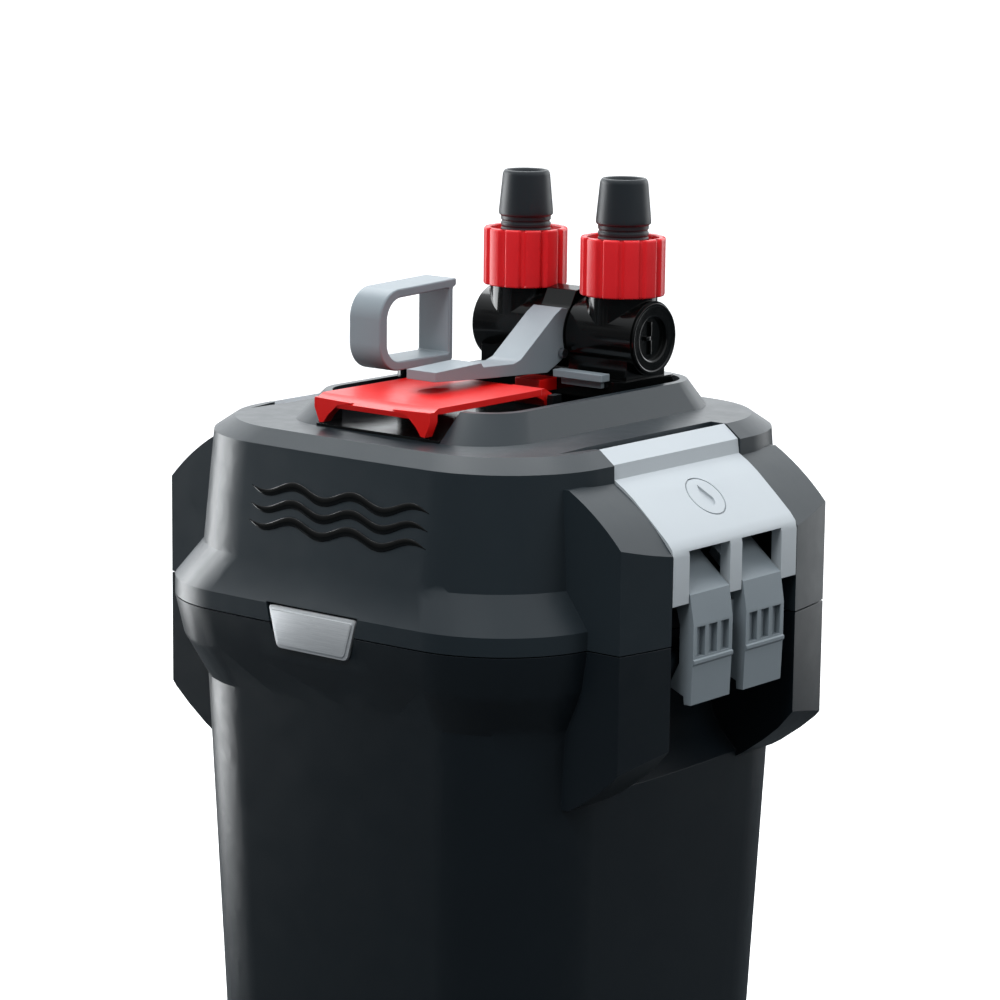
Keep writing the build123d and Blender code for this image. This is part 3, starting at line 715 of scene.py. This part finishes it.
def merged_copy(node: str, clean: bool) -> BMesh:
    """Copy a node's loose triangles as one connected surface.

    Args:
        node: node to copy.
        clean: whether triangles in one plane become one face.

    Returns:
        The copy, still open for edits.
    """
    work = bmesh.new()
    work.from_mesh(frame["nodes"][node].data)
    bmesh.ops.remove_doubles(work, verts=work.verts, dist=WELD)
    if clean:
        bmesh.ops.dissolve_limit(work, angle_limit=math.radians(0.5), verts=work.verts,
                                 edges=work.edges, delimit=set())
    return work


@dataclass
class EdgeRounding:
    """How the sharp edges of a moulding are rounded."""

    radius_mm: float = 0.4
    segments: int = 3
    angle: float = 28.0
    area_growth: float = 1.004
    volume_change: float = 0.06

    def measure(self, mesh: Mesh) -> tuple[float, float, Vector, Vector]:
        """Area, volume and box of a mesh."""
        work = bmesh.new()
        work.from_mesh(mesh)
        area = sum(face.calc_area() for face in work.faces)
        volume = abs(work.calc_volume())
        spots = [v.co for v in work.verts]
        low = Vector([min(p[i] for p in spots) for i in range(3)])
        high = Vector([max(p[i] for p in spots) for i in range(3)])
        work.free()
        return area, volume, low, high

    def attempt(self, node: str, radius_mm: float, clean: bool) -> Object:
        """Round a copy of a node once."""
        piece = object_from(node + "_moulded", mesh_from(node + "_moulded", merged_copy(node, clean)))
        for face in piece.data.polygons:
            face.use_smooth = True
        modify(piece, "edge_rounding", "BEVEL", width=radius_mm * MM, segments=self.segments,
               limit_method="ANGLE", angle_limit=math.radians(self.angle), miter_outer="MITER_ARC")
        modify(piece, "even_shading", "WEIGHTED_NORMAL", keep_sharp=True)
        return baked(piece)

    def build(self, node: str) -> Object:
        """Round a node's edges, trying gentler ways until the shape holds.

        Args:
            node: node to copy.

        Returns:
            The rounded piece.
        """
        area, volume, low, high = self.measure(frame["nodes"][node].data)
        slack = 0.03 * MM
        ways = [(self.radius_mm, True), (self.radius_mm, False), (self.radius_mm / 2, True),
                (self.radius_mm / 2, False), (self.radius_mm / 5, False)]
        for radius, clean in ways:
            piece = self.attempt(node, radius, clean)
            now_area, now_volume, now_low, now_high = self.measure(piece.data)
            inside = all(now_low[i] > low[i] - slack and now_high[i] < high[i] + slack
                         for i in range(3))
            if (now_area < area * self.area_growth and inside
                    and abs(now_volume - volume) < volume * self.volume_change):
                return piece
            LOG.info("%s: rounding of %.2f mm (clean %s) gave area %.3f, volume %.3f", node, radius,
                     clean, now_area / area, now_volume / volume)
            bpy.data.objects.remove(piece)
        return smoothed(object_from(node + "_moulded",
                                    mesh_from(node + "_moulded", merged_copy(node, False))))


@dataclass
class Mouldings:
    """Moulded nodes whose shape is right and whose edges are rounded, with radii in millimetres."""

    radii: dict[str, float] = field(default_factory=lambda: {
        "canister_shell": 0.6, "head_shell": 0.7, "valve_tray": 0.3, "lever_hub": 0.5,
        "valve_lever": 0.5, "lock_bar": 0.3, "release_catch": 0.3, "release_flap": 0.3,
        "primer_handle": 0.6, "primer_guide": 0.3, "cord_gland": 0.6, "rubber_feet": 0.8,
        "valve_body": 0.4, "head_base": 0.3, "seal_ring": 0.6, "motor_pot": 1.0,
        "impeller_cover": 0.5, "basket_cover": 0.5, "basket_handle": 1.0, "foam_frame": 0.4,
        "lower_basket_grid": 0.3, "upper_basket_grid": 0.3, "rotor_well": 0.3, "stator_core": 0.3,
        "impeller_magnet": 0.5, "shaft_bushes": 0.3, "primer_piston": 0.4, "primer_tube": 0.4,
        "outlet_duct": 0.4, "inlet_duct": 0.4, "valve_rotor": 0.4,
    })

    def build(self, shop: Workshop) -> None:
        """Round each of them."""
        for node, radius in self.radii.items():
            if node in frame["nodes"]:
                shop.place(EdgeRounding(radius).build(node), node)


@dataclass
class Clamp:
    """Silver clamp panel with painted shade on its inboard end, and the two-finger latch lever."""

    side: str
    sign: float
    # where the painted shade on the inboard end begins, across and up, in millimetres
    painted_shade_x: float = 66.4
    painted_shade_low: float = 50.0
    arm_radius: float = 0.5
    latch_radius: float = 0.3

    def build(self, shop: Workshop) -> None:
        """Make both pieces of one side."""
        shop.place(self.arm(), self.side + "_clamp_arm", ["head_plastic"])
        shop.place(self.latch(), self.side + "_latch_lever", ["latch_plate"])

    def arm(self) -> Object:
        """Panel whose inboard end faces take the dark head plastic as painted shade."""
        piece = EdgeRounding(self.arm_radius).build(self.side + "_clamp_arm")
        low = at(0, 0, self.painted_shade_low).z
        for face in piece.data.polygons:
            # inboard faces above that height, unless they face outward, get the dark finish: painted shade,
            # not a separate part
            if face.center.x * self.sign < self.painted_shade_x * MM and face.center.z > low:
                face.material_index = 1 if face.normal.x * self.sign < 0.2 else 0
        return piece

    def latch(self) -> Object:
        """Lever made from half of the right one, mirrored, so that all four fingers are alike."""
        name = self.side + "_latch_lever"
        piece = EdgeRounding().attempt("right_latch_lever", self.latch_radius, True)
        work = bmesh.new()
        work.from_mesh(piece.data)
        everything = list(work.verts) + list(work.edges) + list(work.faces)
        bmesh.ops.bisect_plane(work, geom=everything, plane_co=(0, 0, 0), plane_no=(0, -1, 0),
                               clear_outer=True)
        twin = bmesh.ops.duplicate(work, geom=list(work.verts) + list(work.edges) + list(work.faces))
        verts = [v for v in twin["geom"] if isinstance(v, BMVert)]
        faces = [f for f in twin["geom"] if isinstance(f, BMFace)]
        bmesh.ops.scale(work, vec=(1, -1, 1), verts=verts)
        bmesh.ops.reverse_faces(work, faces=faces)
        bmesh.ops.remove_doubles(work, verts=work.verts, dist=2 * WELD)
        bpy.data.objects.remove(piece)
        mesh = moved(mesh_from(name + "_moulded", work), Matrix.Diagonal((self.sign, 1, 1, 1)))
        piece = smoothed(object_from(name + "_moulded", mesh), 24.0)
        modify(piece, "even_shading", "WEIGHTED_NORMAL", keep_sharp=True)
        piece = baked(piece)
        for face in piece.data.polygons:
            if face.normal.x * self.sign > 0.6:
                face.material_index = 1
        return piece


@dataclass
class PortPiece:
    """Turned piece of one hose port."""

    side: str
    sign: float

    def set_on_port(self, shop: Workshop, mesh: Mesh, name: str, node: str) -> None:
        """Move a mesh onto the port's axis and let it stand for its node."""
        moved(mesh, Matrix.Translation(at(PORT[0] * self.sign, PORT[1], 0)))
        piece = smoothed(object_from(self.side + name, mesh), 50.0)
        shop.place(piece, self.side + node)


@dataclass
class LockNut(PortPiece):
    """Fluted nut of one hose port."""

    radius: float = 13.5
    low: float = 91.0
    high: float = 109.5
    bore: float = 9.4
    lip: float = 8.2
    recess: float = 11.4
    flutes: int = 12
    flute_depth: float = 1.15
    segments: int = 240

    def build(self, shop: Workshop) -> None:
        """Turn the ring, press the flutes and place it."""
        corners = [(self.radius, self.low, 0.7), (self.radius, self.low + 6, 0),
                   (self.radius, self.high - 6, 0), (self.radius, self.high, 0.8),
                   (self.recess, self.high, 0.5), (self.recess, self.high - 1.7, 0.2),
                   (self.lip, self.high - 1.7, 0.3), (self.lip, 106.8, 0.2), (self.bore, 106.8, 0.2),
                   (self.bore, self.low, 0.5)]
        ring = lathe(self.side + "_nut_ring", corners, self.segments)
        mesh = shop.flutes.run(ring, shop.materials["nut_plastic"], Count=self.flutes,
                               Depth=self.flute_depth * MM, Groove_Share=0.2,
                               Wall_Radius=(self.radius - 0.9) * MM, Phase=0.35)
        self.set_on_port(shop, mesh, "_fluted_nut", "_lock_nut")


@dataclass
class HoseConnector(PortPiece):
    """Tapered rubber connector of one hose port."""

    bore: float = 5.6
    segments: int = 96

    def build(self, shop: Workshop) -> None:
        """Turn the connector and place it."""
        corners = [(self.bore, 104.05, 0.3), (9.15, 104.05, 0.3), (9.15, 106.4, 0.3), (8.05, 106.4, 0.2),
                   (8.05, 109.2, 0.15), (7.75, 109.45, 0.1), (7.75, 109.85, 0.1), (8.05, 110.1, 0.15),
                   (8.05, 111.0, 0.15), (7.7, 111.25, 0.1), (7.7, 111.75, 0.1), (8.05, 112.0, 0.15),
                   (8.05, 113.2, 0.15), (8.74, 113.7, 0.4), (8.74, 114.9, 0.5), (7.6, 126.9, 0.6),
                   (7.0, 127.9, 0.6), (6.3, 127.9, 0.4), (self.bore, 126.8, 0.5)]
        mesh = lathe(self.side + "_connector", corners, self.segments)
        self.set_on_port(shop, mesh, "_tapered_connector", "_hose_connector")


@dataclass
class EndCap:
    """End cap of one valve barrel: a grey ring round a dark slotted disc, or a plain dome."""

    side: str
    sign: float
    seat: float = 31.9
    disc: float = 7.0
    plug: tuple[Point, ...] = ((0.0, -2.3, 0), (8.0, -2.3, 0.2), (8.0, 0.0, 0.05))

    def build(self, shop: Workshop) -> None:
        """Turn the cap, lay it on the barrel's end and place it."""
        mesh = self.slotted() if self.sign > 0 else self.domed()
        turn = Matrix.Rotation(math.radians(90) * self.sign, 4, "Y")
        moved(mesh, Matrix.Translation(at(self.seat * self.sign, PORT[1], PORT_HEIGHT)) @ turn)
        piece = smoothed(object_from(self.side + "_barrel_cap", mesh), 40.0)
        shop.place(piece, self.side + "_valve_cap", ["cap_ring"])

    def domed(self) -> Mesh:
        """Plain cap with a low dome."""
        return lathe("domed_cap", [*self.plug, (11.25, 0.0, 0.3), (9.8, 0.62, 1.2), (5.0, 0.85, 2.0),
                                   (0.0, 0.9, 0)], 96, closed=False)

    def slotted(self) -> Mesh:
        """Ring with a raised rim round a sunk disc with two ribs and a hub."""
        cap = lathe("slotted_cap", [*self.plug, (11.25, 0.0, 0.1), (11.25, 0.9, 0.25),
                                    (10.4, 0.9, 0.2), (10.2, 0.55, 0.15), (7.5, 0.55, 0.2),
                                    (7.0, 0.3, 0.1), (7.0, -1.2, 0.1), (0.0, -1.2, 0)], 96,
                    closed=False)
        for face in cap.polygons:
            reach = math.hypot(face.center.x, face.center.y) / MM
            face.material_index = int(reach > self.disc + 0.1 and face.center.z > -0.1 * MM)
        parts = [cap]
        for size, spot in (((4.6, 0.7, 0.9), (-2.9, 0, -0.85)), ((4.6, 0.7, 0.9), (2.9, 0, -0.85)),
                           ((1.4, 2.4, 1.0), (0, -1.4, -0.8))):
            parts.append(moved(box_mesh("cap_rib", size), Matrix.Translation(Vector(spot) * MM)))
        return joined("slotted_cap", parts)


@dataclass
class FrontTrim:
    """Badge plate on the band and a generic wave mark on the head's front."""

    top_half: float = 17.5
    low_half: float = 14.0
    top: float = 5.6
    low: float = -7.2
    border: float = 1.0
    wave_half_length: float = 35.0
    wave_centre: float = 2.5
    wave_levels: tuple[float, ...] = (28.6, 33.8, 39.0)
    wave_swing: float = 1.5
    wave_half_width: float = 1.35
    waves: float = 3.0
    wave_steps: int = 96
    relief: float = 0.45

    def build(self, shop: Workshop) -> None:
        """Make both pieces of trim."""
        self.badge(shop)
        self.wave_mark(shop)

    def trapezoid(self, inset: float, rounding: float) -> list[Vector]:
        """Outline of the badge, drawn in by an inset."""
        corners = [(-self.top_half + inset * 1.1, self.top - inset, rounding),
                   (self.top_half - inset * 1.1, self.top - inset, rounding),
                   (self.low_half - inset * 0.9, self.low + inset, rounding),
                   (-self.low_half + inset * 0.9, self.low + inset, rounding)]
        return rounded_corners(corners)

    def badge(self, shop: Workshop) -> None:
        """Dark border with the brushed plate set in it."""
        plate = prism("badge_plate", self.trapezoid(self.border, 1.0), -86.2, -85.2)
        border = numbered(prism("badge_border", self.trapezoid(0.0, 1.6), -85.7, -84.4), 1)
        piece = object_from("trapezoid_badge", joined("trapezoid_badge", [plate, border]))
        modify(piece, "broken_edges", "BEVEL", width=0.22 * MM, segments=2,
               angle_limit=math.radians(50))
        shop.place(smoothed(baked(piece), 35.0), "front_badge", ["dark_plastic"])

    def wave_mark(self, shop: Workshop) -> None:
        """Three polished waves that stand proud of the head's front."""
        wall = frame["nodes"]["head_shell"].data
        tree = BVHTree.FromPolygons([v.co for v in wall.vertices], [p.vertices for p in wall.polygons])
        section = [(-1.0, -0.3), (-1.0, 0.55), (-0.86, 0.9), (0.0, 1.0), (0.86, 0.9), (1.0, 0.55),
                   (1.0, -0.3)]
        waves = []
        for level in self.wave_levels:
            rows = []
            for i in range(self.wave_steps + 1):
                share = i / self.wave_steps * 2 - 1
                x = self.wave_centre + share * self.wave_half_length
                swing = math.sin(share * math.pi * self.waves) * self.wave_swing
                taper = max(0.12, 1 - abs(share) ** 6)
                row = []
                for across, up in section:
                    z = level + swing + across * self.wave_half_width * taper
                    hit = tree.ray_cast(at(x, -120, z), Vector((0, 1, 0)))[0]
                    row.append(hit - Vector((0, up * self.relief * taper * MM, 0)))
                rows.append(row)
            waves.append(loft("wave", rows))
        shop.add(smooth_piece("wave_mark", waves, 60.0), "head", "valve_plastic")


@dataclass
class FilterMedia:
    """Baskets with ribs, ceramic rings, foam blocks and the fine pad."""

    floor: float = -282.0
    basket_half: float = 52.0
    basket_front: float = -50.0
    basket_back: float = 15.5
    basket_height: float = 96.0
    basket_gap: float = 0.5
    plain_rims: float = 14.0
    plain_corners: float = 16.0
    rib_pitch: float = 8.0
    rib_size: tuple[float, float] = (2.4, 1.4)
    ring_outer: float = 4.4
    ring_inner: float = 2.2
    ring_length: float = 12.0
    ring_counts: tuple[int, int, int] = (9, 5, 2)
    ring_start: Point = (-44.0, 9.0, 9.4)
    ring_pitch: Point = (11.0, 11.8, 14.0)
    ring_tilt: Point = (0.09, 0.09, 3.1)

    def build(self, shop: Workshop) -> None:
        """Make every piece of media."""
        lows = {"lower_basket": self.floor, "upper_basket": self.floor + self.basket_height + self.basket_gap}
        for node, low in lows.items():
            self.basket(shop, node, low)
        self.rings(shop)
        for node, fill in (("lower_foam", 0.9), ("upper_foam", 0.9), ("fine_pad", 0.6)):
            self.soft_block(shop, node)

    def basket(self, shop: Workshop, node: str, low: float) -> None:
        """Basket wall with upright ribs on all four sides."""
        finish = shop.materials["rack_plastic"]
        height = self.basket_height - self.plain_rims
        middle = low + self.basket_height / 2
        across = int((2 * self.basket_half - self.plain_corners) // self.rib_pitch) + 1
        deep = int((self.basket_back - self.basket_front - self.plain_corners) // self.rib_pitch) + 1
        start_x = -(across - 1) / 2 * self.rib_pitch
        start_y = ((self.basket_front + self.basket_back) - (deep - 1) * self.rib_pitch) / 2
        wall = EdgeRounding(0.4).build(node)
        parts = [wall.data]
        pitch = (self.rib_pitch * MM, self.rib_pitch * MM, 0.0)
        wide, thick = self.rib_size
        sides = [(wide, thick, across, 1, start_x, y) for y in (self.basket_front, self.basket_back)]
        sides += [(thick, wide, 1, deep, x, start_y) for x in (-self.basket_half, self.basket_half)]
        for size_x, size_y, count_x, count_y, x, y in sides:
            rib = box_mesh("rib", (size_x, size_y, height))
            parts.append(shop.grid.run(rib, finish, Across=count_x, Deep=count_y,
                                       Start=tuple(at(x, y, middle)), Pitch=pitch))
        piece = smooth_piece(node + "_ribbed", parts, 35.0)
        bpy.data.objects.remove(wall)
        shop.place(piece, node)

    def rings(self, shop: Workshop) -> None:
        """Ninety ceramic rings, each a little tilted."""
        outer, inner, half = self.ring_outer, self.ring_inner, self.ring_length / 2
        ring = lathe("ceramic_ring", [(outer, -half, 0.5), (outer, half, 0.5), (inner, half, 0.4),
                                      (inner, -half, 0.4)], 20)
        across, deep, high = self.ring_counts
        start_x, start_y, start_z = self.ring_start
        start = at(start_x, self.basket_front + start_y, self.floor + start_z)
        mesh = shop.grid.run(ring, shop.materials["ceramic"], Across=across, Deep=deep, High=high,
                             Start=tuple(start), Pitch=tuple(step * MM for step in self.ring_pitch),
                             Tilt=self.ring_tilt, Seed=7)
        shop.place(smoothed(object_from("tilted_rings", mesh), 40.0), "ceramic_rings")

    def soft_block(self, shop: Workshop, node: str) -> None:
        """Foam or fleece block with softened corners and a slightly uneven skin."""
        piece = object_from(node + "_soft", mesh_from(node + "_soft", merged_copy(node, True)))
        modify(piece, "even_skin", "REMESH", mode="VOXEL", voxel_size=1.6 * MM)
        modify(piece, "soft_corners", "SMOOTH", iterations=3)
        piece = baked(piece)
        normals = [v.normal.copy() for v in piece.data.vertices]
        for vertex, normal in zip(piece.data.vertices, normals):
            dip = noise.noise(vertex.co * per_metre(9.0)) + 0.6 * noise.noise(vertex.co * per_metre(3.0))
            vertex.co -= normal * (0.35 + 0.3 * dip) * MM
        for face in piece.data.polygons:
            face.use_smooth = True
        shop.place(piece, node)


@dataclass
class PumpWorks:
    """Wound coil, curved impeller and threaded screws."""

    centre: tuple[float, float] = (20.0, -12.0)
    wire: float = 0.55
    coil_x: tuple[float, float] = (6.0, 34.0)
    coil_y: tuple[float, float] = (3.0, 20.5)
    coil_z: tuple[float, float] = (9.5, 36.5)
    layers: int = 3
    layer_step: float = 1.75
    blades: int = 6
    blade_steps: int = 12
    screw_spots: tuple[tuple[float, float], ...] = ((-2, -36), (42, -36), (-2, 20), (42, 46))

    def build(self, shop: Workshop) -> None:
        """Make the pump's detailed pieces."""
        self.coil(shop)
        self.impeller(shop)
        self.screws(shop)

    def coil(self, shop: Workshop) -> None:
        """Turns of wire in three layers round the core's leg."""
        pitch = 2 * self.wire + 0.03
        count = int((self.coil_x[1] - self.coil_x[0]) / pitch)
        parts = []
        for layer in range(self.layers):
            inset = self.wire * (1 + layer * self.layer_step)
            y0, y1 = self.coil_y[0] + inset, self.coil_y[1] - inset
            z0, z1 = self.coil_z[0] + inset, self.coil_z[1] - inset
            loop = rounded_corners([(y0, z0, 3), (y1, z0, 3), (y1, z1, 3), (y0, z1, 3)], steps=6)
            turn = tube_along("coil_turn", loop, self.wire, 8)
            begin = Vector(((self.coil_x[0] + self.wire) * MM, 0.0, 0.0))
            parts.append(shop.grid.run(turn, shop.materials["coil_wire"], Across=count,
                                       Start=tuple(begin), Pitch=(pitch * MM, 0.0, 0.0)))
        shop.place(smooth_piece("wound_coil", parts, 60.0), "stator_coil")

    def impeller(self, shop: Workshop) -> None:
        """Hub and disc turned in one, with curved blades in a ring."""
        hub = lathe("impeller_hub", [(1.55, -22.8, 0.2), (4.0, -22.8, 0.6), (4.0, -13.2, 0.8),
                                     (19.0, -13.2, 0.3), (19.0, -11.6, 0.3), (4.0, -11.6, 0.8),
                                     (4.0, 31.0, 0.4), (1.55, 31.0, 0.2)], 72)
        rows = []
        for i in range(self.blade_steps + 1):
            share = i / self.blade_steps
            reach, sweep = 3.2 + share * 15.0, share * share * 0.55
            spot = Vector((math.cos(sweep), math.sin(sweep))) * reach
            side = Vector((-math.sin(sweep * 1.8), math.cos(sweep * 1.8))) * 0.6
            top, low = -13.4, -21.8 + share * 1.4
            rows.append([Vector((p.x, p.y, z)) * MM
                         for p, z in ((spot - side, low), (spot + side, low), (spot + side, top),
                                      (spot - side, top))])
        work = bmesh.new()
        work.from_mesh(loft("plain_blade", rows))
        sharp = [e for e in work.edges if e.calc_face_angle(0.0) > 0.8]
        bmesh.ops.bevel(work, geom=sharp, offset=0.2 * MM, segments=2, profile=0.5, affect="EDGES")
        blades = shop.ring.run(mesh_from("blade", work), shop.materials["impeller_plastic"],
                               Count=self.blades, Centre=(0.0, 0.0, 0.0))
        mesh = joined("curved_impeller", [hub, blades])
        moved(mesh, Matrix.Translation(at(*self.centre, 0)))
        shop.place(smoothed(object_from("curved_impeller", mesh), 45.0), "impeller_wheel")

    def screws(self, shop: Workshop) -> None:
        """Pan-head screws with a visible thread."""
        corners: list[Point] = [(0.0, -14.0, 0), (2.2, -13.9, 0.6), (2.95, -13.2, 0.5),
                                (2.95, -12.0, 0.2), (1.5, -12.0, 0.2)]
        level = -11.4
        while level < -3.2:
            corners += [(1.18, level, 0.05), (1.48, level + 0.4, 0.05)]
            level += 0.8
        corners += [(1.1, -2.9, 0.1), (0.0, -2.1, 0)]
        parts = []
        for x, y in self.screw_spots:
            screw = lathe("screw", corners, 32, closed=False)
            slot = box_mesh("drive_slot", (4.0, 0.8, 0.5))
            moved(slot, Matrix.Translation(Vector((0, 0, -13.85)) * MM))
            parts.append(moved(joined("slotted_screw", [screw, slot]),
                               Matrix.Translation(at(x, y, 0))))
        shop.place(smooth_piece("pan_head_screws", parts, 45.0), "cover_screws")


# ---------------------------------------------------------------- studio

@dataclass
class Studio:
    """Floor, surrounding light, soft boxes and camera."""

    azimuth: float = 38.98
    elevation: float = 10.75
    roll: float = 0.65
    lens_mm: float = 128.1
    eye: Point = (0.6943, -0.8550, 0.5288)
    floor_reach: float = 40.0
    floor_glow: float = 0.42

    # name, (metres to the right, behind, up), (width, height), watts, whether it shows in reflections
    BOXES = (("left_rim_box", (-0.62, 0.34, 0.36), (0.42, 0.7), 5.0, True),
             ("right_rim_box", (0.8, 0.6, 0.4), (0.5, 0.7), 1.6, True),
             ("overhead_box", (-0.1, 0.6, 1.3), (0.9, 0.9), 9.0, True),
             ("front_key_box", (-0.35, -0.75, 1.25), (0.45, 0.45), 9.0, False),
             ("right_fill_box", (0.9, -0.45, 0.95), (0.4, 0.4), 3.2, False))
    BOX_COLOUR = (0.96, 0.985, 1.0)
    BOX_AIM = (0.0, 0.0, 0.33)

    def build(self) -> None:
        """Make everything that isn't the object."""
        self.floor()
        self.air()
        self.lamps()
        self.camera()
        bpy.context.scene.view_settings.view_transform = "Standard"

    def floor(self) -> None:
        """Wide pale floor, which sends little light back up on the tub."""
        r = self.floor_reach
        mesh = bpy.data.meshes.new("studio_floor")
        mesh.from_pydata([(-r, -r, 0), (r, -r, 0), (r, r, 0), (-r, r, 0)], [], [(0, 1, 2, 3)])
        floor = object_from("studio_floor", mesh)
        material, tree, shader = new_material("pale_floor")
        seen = add_node(tree, "ShaderNodeLightPath").outputs["Is Camera Ray"]
        tone = add_node(tree, "ShaderNodeMix", {"data_type": "RGBA"}, Factor=seen,
                        slot_6=linear("#3c4043"), slot_7=linear("#f4f4f4"))
        glow = add_node(tree, "ShaderNodeMath", {"operation": "MULTIPLY"}, slot_0=seen,
                        slot_1=self.floor_glow)
        for name, value in {"Base Color": tone.outputs[2], "Roughness": 0.95,
                            "Specular IOR Level": 0.0, "Emission Color": (1, 1, 1, 1),
                            "Emission Strength": glow.outputs[0]}.items():
            connect(tree, value, shader.inputs[name])
        mesh.materials.append(material)

    def air(self) -> None:
        """Surrounding light: bright behind and above the object, quiet in front."""
        world = bpy.data.worlds.new("studio_air")
        world.use_nodes = True
        tree = world.node_tree
        tree.nodes.clear()
        a = math.radians(self.azimuth)
        where = add_node(tree, "ShaderNodeTexCoord").outputs["Generated"]
        total = None
        for toward, start, strength in (((-math.sin(a), math.cos(a), 0.15), 0.1, 1.5),
                                        ((0.0, 0.0, 1.0), 0.15, 0.8),
                                        ((math.cos(a), math.sin(a), 0.1), 0.3, 0.35)):
            aim = add_node(tree, "ShaderNodeVectorMath", {"operation": "DOT_PRODUCT"}, slot_0=where,
                           slot_1=toward).outputs["Value"]
            part = add_node(tree, "ShaderNodeMapRange", {"interpolation_type": "SMOOTHSTEP"},
                            Value=aim, From_Min=start, From_Max=1.0, To_Min=0.0,
                            To_Max=strength).outputs["Result"]
            total = part if total is None else add_node(tree, "ShaderNodeMath", {"operation": "ADD"},
                                                        slot_0=total, slot_1=part).outputs[0]
        base = add_node(tree, "ShaderNodeMath", {"operation": "ADD"}, slot_0=total,
                        slot_1=0.12).outputs[0]
        seen = add_node(tree, "ShaderNodeLightPath").outputs["Is Camera Ray"]
        shown = add_node(tree, "ShaderNodeMix", {"data_type": "FLOAT"}, slot_0=seen, slot_2=base,
                         slot_3=1.0).outputs[0]
        air = add_node(tree, "ShaderNodeBackground", Color=linear("#f0f4f7"), Strength=shown)
        add_node(tree, "ShaderNodeOutputWorld", Surface=air.outputs[0])
        bpy.context.scene.world = world

    def lamps(self) -> None:
        """Soft boxes, placed by metres to the right of, behind and above the object."""
        a = math.radians(self.azimuth)
        right, behind = Vector((math.cos(a), math.sin(a), 0)), Vector((-math.sin(a), math.cos(a), 0))
        for name, (across, back, height), size, power, mirrored in self.BOXES:
            light = bpy.data.lights.new(name, "AREA")
            light.shape = "RECTANGLE"
            light.size, light.size_y = size
            light.energy = power
            light.color = self.BOX_COLOUR
            lamp = object_from(name, light)
            lamp.location = right * across + behind * back + Vector((0, 0, height))
            aim = Vector(self.BOX_AIM) - lamp.location
            lamp.rotation_euler = aim.to_track_quat("-Z", "Y").to_euler()
            lamp.visible_camera = False
            lamp.visible_glossy = mirrored

    def camera(self) -> None:
        """Camera at the viewing angle, with a slight roll."""
        a, e, r = (math.radians(v) for v in (self.azimuth, self.elevation, self.roll))
        back = Vector((math.sin(a) * math.cos(e), -math.cos(a) * math.cos(e), math.sin(e)))
        right = Vector((math.cos(a), math.sin(a), 0))
        up = back.cross(right)
        across = right * math.cos(r) + up * math.sin(r)
        data = bpy.data.cameras.new("camera")
        data.lens = self.lens_mm
        data.sensor_width = 36.0
        data.clip_end = 100.0
        camera = object_from("camera", data)
        turn = Matrix((across, back.cross(across), back)).transposed().to_4x4()
        camera.matrix_world = Matrix.Translation(Vector(self.eye)) @ turn
        bpy.context.scene.camera = camera


def main() -> None:
    """Build the studio, then every sub-assembly in order."""
    logging.basicConfig(level=logging.INFO, format="%(message)s")
    Studio().build()
    shop = Workshop()
    shop.dress_nodes()
    Mouldings().build(shop)
    for side, sign in (("right", 1.0), ("left", -1.0)):
        Clamp(side, sign).build(shop)
        LockNut(side, sign).build(shop)
        HoseConnector(side, sign).build(shop)
        EndCap(side, sign).build(shop)
    FrontTrim().build(shop)
    FilterMedia().build(shop)
    PumpWorks().build(shop)


if __name__ == "__main__":
    main()
